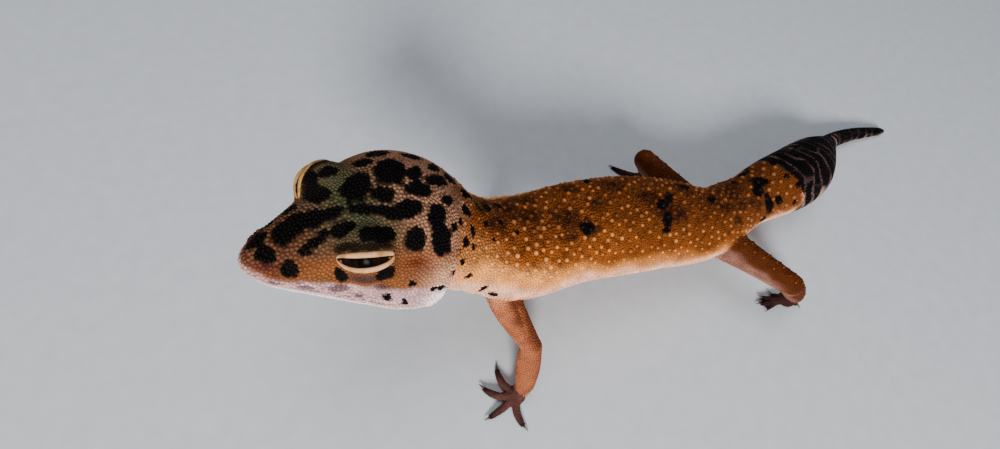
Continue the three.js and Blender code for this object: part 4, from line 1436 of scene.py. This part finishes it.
def make_lid(side, lid, rims):
    """One rim: widest in its middle, thin at the corners, with the faint notches of its scales."""
    line, outward, across = rim_lines[side, lid]

    def place(share, angle, reach):
        row = np.round(share * (len(line) - 1)).astype(int)
        taper = 0.3 + 0.7 * np.clip(1 - (1.8 * share - 1.05) ** 2, 0, 1)
        ends = np.sqrt(np.clip(np.minimum(share, 1 - share) / 0.08, 0.004, 1))
        notch = 1 - NOTCH_DEPTH * np.cos(share * 2 * math.pi * LID_NOTCHES)
        wide, deep = RIM_WIDTH[lid] * taper * ends * reach, RIM_DEPTH * taper * ends * notch * reach
        return (line[row] + across[row] * (np.cos(angle) * wide)[:, None]
                + outward[row] * (np.sin(angle) * deep)[:, None])

    add_tube(RIM_SIDES, RIM_RINGS, place, rims)


for side in SIDES:
    rims = bmesh.new()
    for lid in ("upper", "lower"):
        make_lid(side, lid, rims)
    lids = piece_from(rims, "eyelids_" + side)
    print(lids.name, "has", len(lids.data.polygons), "faces")

# %% [markdown]
# ## Ears and claws
# The ear is an upright opening behind the jaw with a drum of thin skin a little way in. Claws are short
# curved cones that leave the tips of the digits and bend down to the floor; each foot's five are one
# piece.

# %% Ear drums
DRUM_RADII = [0.62, 0.3, 1.5]
for side in SIDES:
    drum = bmesh.new()
    low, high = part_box("ear_" + side)
    centre = np.array((low + high) / 2) / MM - SHIFT
    add_ball(centre, DRUM_RADII, head_turn(EAR["station"]), into=drum)
    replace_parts(piece_from(drum, "eardrum_" + side), "ear_" + side)
print("Each ear drum is", 2 * DRUM_RADII[2], "mm high")

# %% Claws
CLAW_STEPS = [(-0.25, 0.5), (0.25, 0.66), (0.75, 0.56), (1.1, 0.16)]  # past the digit's tip, and height
CLAW_RADII = [0.5, 0.42, 0.31, 0.21]  # before they are drawn in by the depth of the coat
for limb_name, limb in LIMBS.items():
    claws = bmesh.new()
    for number, long in enumerate(limb["lengths"]):
        line = [digit_point(limb, number, long + past, z) for past, z in CLAW_STEPS]
        add_limb_tube(line, CLAW_RADII, sides=12, rings=12, into=claws)
    made = piece_from(claws, "claws_" + limb_name)
    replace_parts(made, *[f"claw_{limb_name}_{number}" for number in range(1, 6)])
    print(made.name, "has", len(made.data.polygons), "faces")

# %% [markdown]
# ## Materials
# Scales and skin share one kind of material: the markings come from the mesh, and noise on the object's
# own coordinates varies their tone, their roughness and their finest grain. Dry scales hardly shine.
# The eye is smoother, but it lies in the shade of the lids and reflects little. Claws are horn and have
# more gloss than skin.

# %% Nodes that every finish needs
def new_material(name):
    """A material, its nodes, its links and its shader."""
    material = bpy.data.materials.new(name)
    material.use_nodes = True
    tree = material.node_tree
    return material, tree.nodes, tree.links, tree.nodes["Principled BSDF"]


def add_noise(nodes, links, scale, detail=3.0):
    """Noise on the object's own coordinates."""
    where = nodes.new("ShaderNodeTexCoord")
    noise = nodes.new("ShaderNodeTexNoise")
    noise.inputs["Scale"].default_value = scale
    noise.inputs["Detail"].default_value = detail
    links.new(where.outputs["Object"], noise.inputs["Vector"])
    return noise.outputs["Fac"]


NOISE_RANGE = (0.3, 0.7)  # where most of a noise's values lie


def add_range(nodes, links, value, low, high):
    """A noise spread between two values."""
    spread = nodes.new("ShaderNodeMapRange")
    spread.inputs["From Min"].default_value, spread.inputs["From Max"].default_value = NOISE_RANGE
    spread.inputs["To Min"].default_value = low
    spread.inputs["To Max"].default_value = high
    links.new(value, spread.inputs["Value"])
    return spread.outputs["Result"]


def add_bump(nodes, links, shader, height, depth):
    """Relief of a depth in metres."""
    bump = nodes.new("ShaderNodeBump")
    bump.inputs["Strength"].default_value = 0.6
    bump.inputs["Distance"].default_value = depth
    links.new(height, bump.inputs["Height"])
    links.new(bump.outputs["Normal"], shader.inputs["Normal"])


# %% Skin and scales
TONE_GRAIN = 900  # sizes of noise: the larger, the finer
ROUGH_GRAIN = 2500
FINEST_GRAIN = 9000


def skin_material(name, gloss, rough_low, rough_high):
    """Skin or scales: markings from the mesh, varied in tone, with low gloss and a fine grain."""
    material, nodes, links, shader = new_material(name)
    paint = nodes.new("ShaderNodeAttribute")
    paint.attribute_name = "Markings"
    tone = nodes.new("ShaderNodeHueSaturation")
    links.new(paint.outputs["Color"], tone.inputs["Color"])
    links.new(add_range(nodes, links, add_noise(nodes, links, TONE_GRAIN), 0.86, 1.12), tone.inputs["Value"])
    links.new(tone.outputs["Color"], shader.inputs["Base Color"])
    rough = add_range(nodes, links, add_noise(nodes, links, ROUGH_GRAIN), rough_low, rough_high)
    links.new(rough, shader.inputs["Roughness"])
    add_bump(nodes, links, shader, add_noise(nodes, links, FINEST_GRAIN, 2.0), 0.00003)
    shader.inputs["Specular IOR Level"].default_value = gloss
    return material


scale_finish = skin_material("scales", 0.05, 0.42, 0.62)
tubercle_finish = skin_material("tubercle_horn", 0.08, 0.38, 0.55)
skin_finish = skin_material("bare_skin", 0.04, 0.6, 0.8)
skin.data.materials.append(skin_finish)
for piece in coat:
    piece.data.materials.append(tubercle_finish if piece.name == "tubercles" else scale_finish)

print("The coat's", len(coat), "pieces have their finish")

# %% Lids, ears and claws
def two_tones(nodes, links, value, dark, light, first, last):
    """A ramp from a dark tone to a light one, between two values."""
    tones = nodes.new("ShaderNodeValToRGB")
    for element, position, tone in zip(tones.color_ramp.elements, (first, last), (dark, light)):
        element.position = position
        element.color = (*linear(tone), 1)
    links.new(value, tones.inputs["Fac"])
    return tones.outputs["Color"]


def tinted(name, dark, light, scale, gloss, rough_low, rough_high, depth):
    """A surface between two tones of one colour, mottled by noise."""
    material, nodes, links, shader = new_material(name)
    noise = add_noise(nodes, links, scale)
    links.new(two_tones(nodes, links, noise, dark, light, *NOISE_RANGE), shader.inputs["Base Color"])
    links.new(add_range(nodes, links, noise, rough_low, rough_high), shader.inputs["Roughness"])
    add_bump(nodes, links, shader, add_noise(nodes, links, scale * 4), depth)
    shader.inputs["Specular IOR Level"].default_value = gloss
    return material


FINISHES = {
    "eyelids_left": tinted("lid_rim", (160, 108, 64), (206, 158, 114), 900, 0.2, 0.5, 0.65, 0.00002),
    # The far eye's rims take darker tones of the same colour: painted shade, away from the light.
    "eyelids_right": tinted("lid_rim_far", (132, 94, 46), (176, 134, 74), 900, 0.2, 0.5, 0.65, 0.00002),
    # The drum's dark tones are partly its own colour, partly painted shade deep in the ear opening.
    "eardrum": tinted("ear_drum", (70, 40, 34), (120, 80, 66), 1200, 0.3, 0.4, 0.6, 0.00003),
    "claws": tinted("claw_horn", (38, 28, 24), (84, 66, 54), 1800, 0.5, 0.25, 0.4, 0.00003),
}
for piece in list(bpy.data.objects):
    for kind, finish in FINISHES.items():
        if piece.name.startswith(kind):
            piece.data.materials.append(finish)
            print(piece.name, "is finished in", finish.name)

# %% The eye
PUPIL_SQUEEZE = (4.2, 0.0, 1.5)  # makes the round pupil narrow and upright
EYE_GLOSS = 0.01


def eye_material():
    """A dark brown iris with faint veins round an upright pupil, smooth but in shade;
    its tones are deepened with painted shade of the lids.
    """
    material, nodes, links, shader = new_material("wet_eye")
    gaze = nodes.new("ShaderNodeAttribute")
    gaze.attribute_name = "gaze"
    squeeze = nodes.new("ShaderNodeVectorMath")
    squeeze.operation = "MULTIPLY"
    squeeze.inputs[1].default_value = PUPIL_SQUEEZE
    links.new(gaze.outputs["Vector"], squeeze.inputs[0])
    away = nodes.new("ShaderNodeVectorMath")
    away.operation = "LENGTH"
    links.new(squeeze.outputs["Vector"], away.inputs[0])
    veins = nodes.new("ShaderNodeTexNoise")
    veins.inputs["Scale"].default_value = 9.0
    veins.inputs["Detail"].default_value = 6.0
    veins.inputs["Distortion"].default_value = 1.5
    links.new(gaze.outputs["Vector"], veins.inputs["Vector"])
    # The iris tones are nearly black: a dark brown iris deepened by painted shade of the lids.
    iris = two_tones(nodes, links, veins.outputs["Fac"], (12, 8, 6), (34, 22, 13), 0.42, 0.72)
    edge = nodes.new("ShaderNodeMapRange")
    edge.inputs["From Min"].default_value = 0.9
    edge.inputs["From Max"].default_value = 1.0
    links.new(away.outputs["Value"], edge.inputs["Value"])
    pupil = nodes.new("ShaderNodeMix")
    pupil.data_type = "RGBA"
    pupil.inputs["A"].default_value = (*linear((6, 5, 5)), 1)
    links.new(edge.outputs["Result"], pupil.inputs["Factor"])
    links.new(iris, pupil.inputs["B"])
    links.new(pupil.outputs["Result"], shader.inputs["Base Color"])
    links.new(add_range(nodes, links, veins.outputs["Fac"], 0.12, 0.20), shader.inputs["Roughness"])
    add_bump(nodes, links, shader, veins.outputs["Fac"], 0.00001)
    shader.inputs["Specular IOR Level"].default_value = EYE_GLOSS
    return material


wet_eye = eye_material()
for eyeball in eyeballs:
    eyeball.data.materials.append(wet_eye)
print("The eye's finish has", len(wet_eye.node_tree.nodes), "nodes")

# %% [markdown]
# ## The stage
# The model stands on a plain pale floor. The light is soft and comes low from the animal's left, so the
# flank and the jaw are bright and the far side of the back is in shade; a weak room light fills it.

# %% Floor
FLOOR_HALF = 0.9  # metres


def make_floor():
    """A plain pale floor with the faintest grain, not part of the animal."""
    base = bmesh.new()
    bmesh.ops.create_grid(base, x_segments=1, y_segments=1, size=FLOOR_HALF)
    mesh = bpy.data.meshes.new("floor")
    base.to_mesh(mesh)
    base.free()
    floor = new_object("floor", mesh)
    paper = tinted("floor_paper", (178, 182, 188), (184, 188, 194), 300, 0.2, 0.85, 0.95, 0.00002)
    mesh.materials.append(paper)


make_floor()

# %% Lamps
def add_lamp(name, place, size, power, colour):
    """A large soft lamp that looks at the middle of the animal."""
    lamp = bpy.data.lights.new(name, "AREA")
    lamp.shape = "DISK"
    lamp.size = size
    lamp.energy = power
    lamp.color = colour
    holder = new_object(name, lamp)
    holder.location = place
    holder.rotation_euler = (-Vector(place)).to_track_quat("-Z", "Y").to_euler()


# Name, place and size in metres, power in watts, and colour.
LAMPS = [
    ("window", (-0.20, -0.50, 0.30), 0.18, 7.0, (1.0, 0.98, 0.95)),
    ("ceiling", (-0.05, 0.10, 0.70), 0.50, 2.4, (0.94, 0.97, 1.0)),
]
ROOM_COLOUR = (0.78, 0.82, 0.9, 1)
ROOM_LIGHT = 0.24
for lamp in LAMPS:
    add_lamp(*lamp)
world = bpy.data.worlds.new("room_light")
world.use_nodes = True
background = world.node_tree.nodes["Background"]
background.inputs["Color"].default_value = ROOM_COLOUR
background.inputs["Strength"].default_value = ROOM_LIGHT
bpy.context.scene.world = world
print(len(LAMPS), "lamps are lit")

# %% Camera
CAMERA_AT = (-47.98, -40.34, 105.0)  # in the tables' millimetres
CAMERA_AZIMUTH = 59.35  # degrees from +X towards +Y
CAMERA_DOWN = 59.55
CAMERA_ROLL = 16.8
CAMERA_LENS = 18.216  # millimetres
SENSOR_WIDTH = 36
camera = new_object("camera", bpy.data.cameras.new("camera"))
camera.data.sensor_width = SENSOR_WIDTH
camera.data.lens = CAMERA_LENS
camera.data.clip_start = 0.005
camera.location = placed(CAMERA_AT)
down, azimuth = math.radians(CAMERA_DOWN), math.radians(CAMERA_AZIMUTH)
look = Vector((math.cos(azimuth) * math.cos(down), math.sin(azimuth) * math.cos(down), -math.sin(down)))
turned = look.to_track_quat("-Z", "Y").to_matrix() @ Matrix.Rotation(math.radians(CAMERA_ROLL), 3, "Z")
camera.rotation_euler = turned.to_euler()
bpy.context.scene.camera = camera
print("The camera is", round(CAMERA_AT[2]), "mm over the floor")
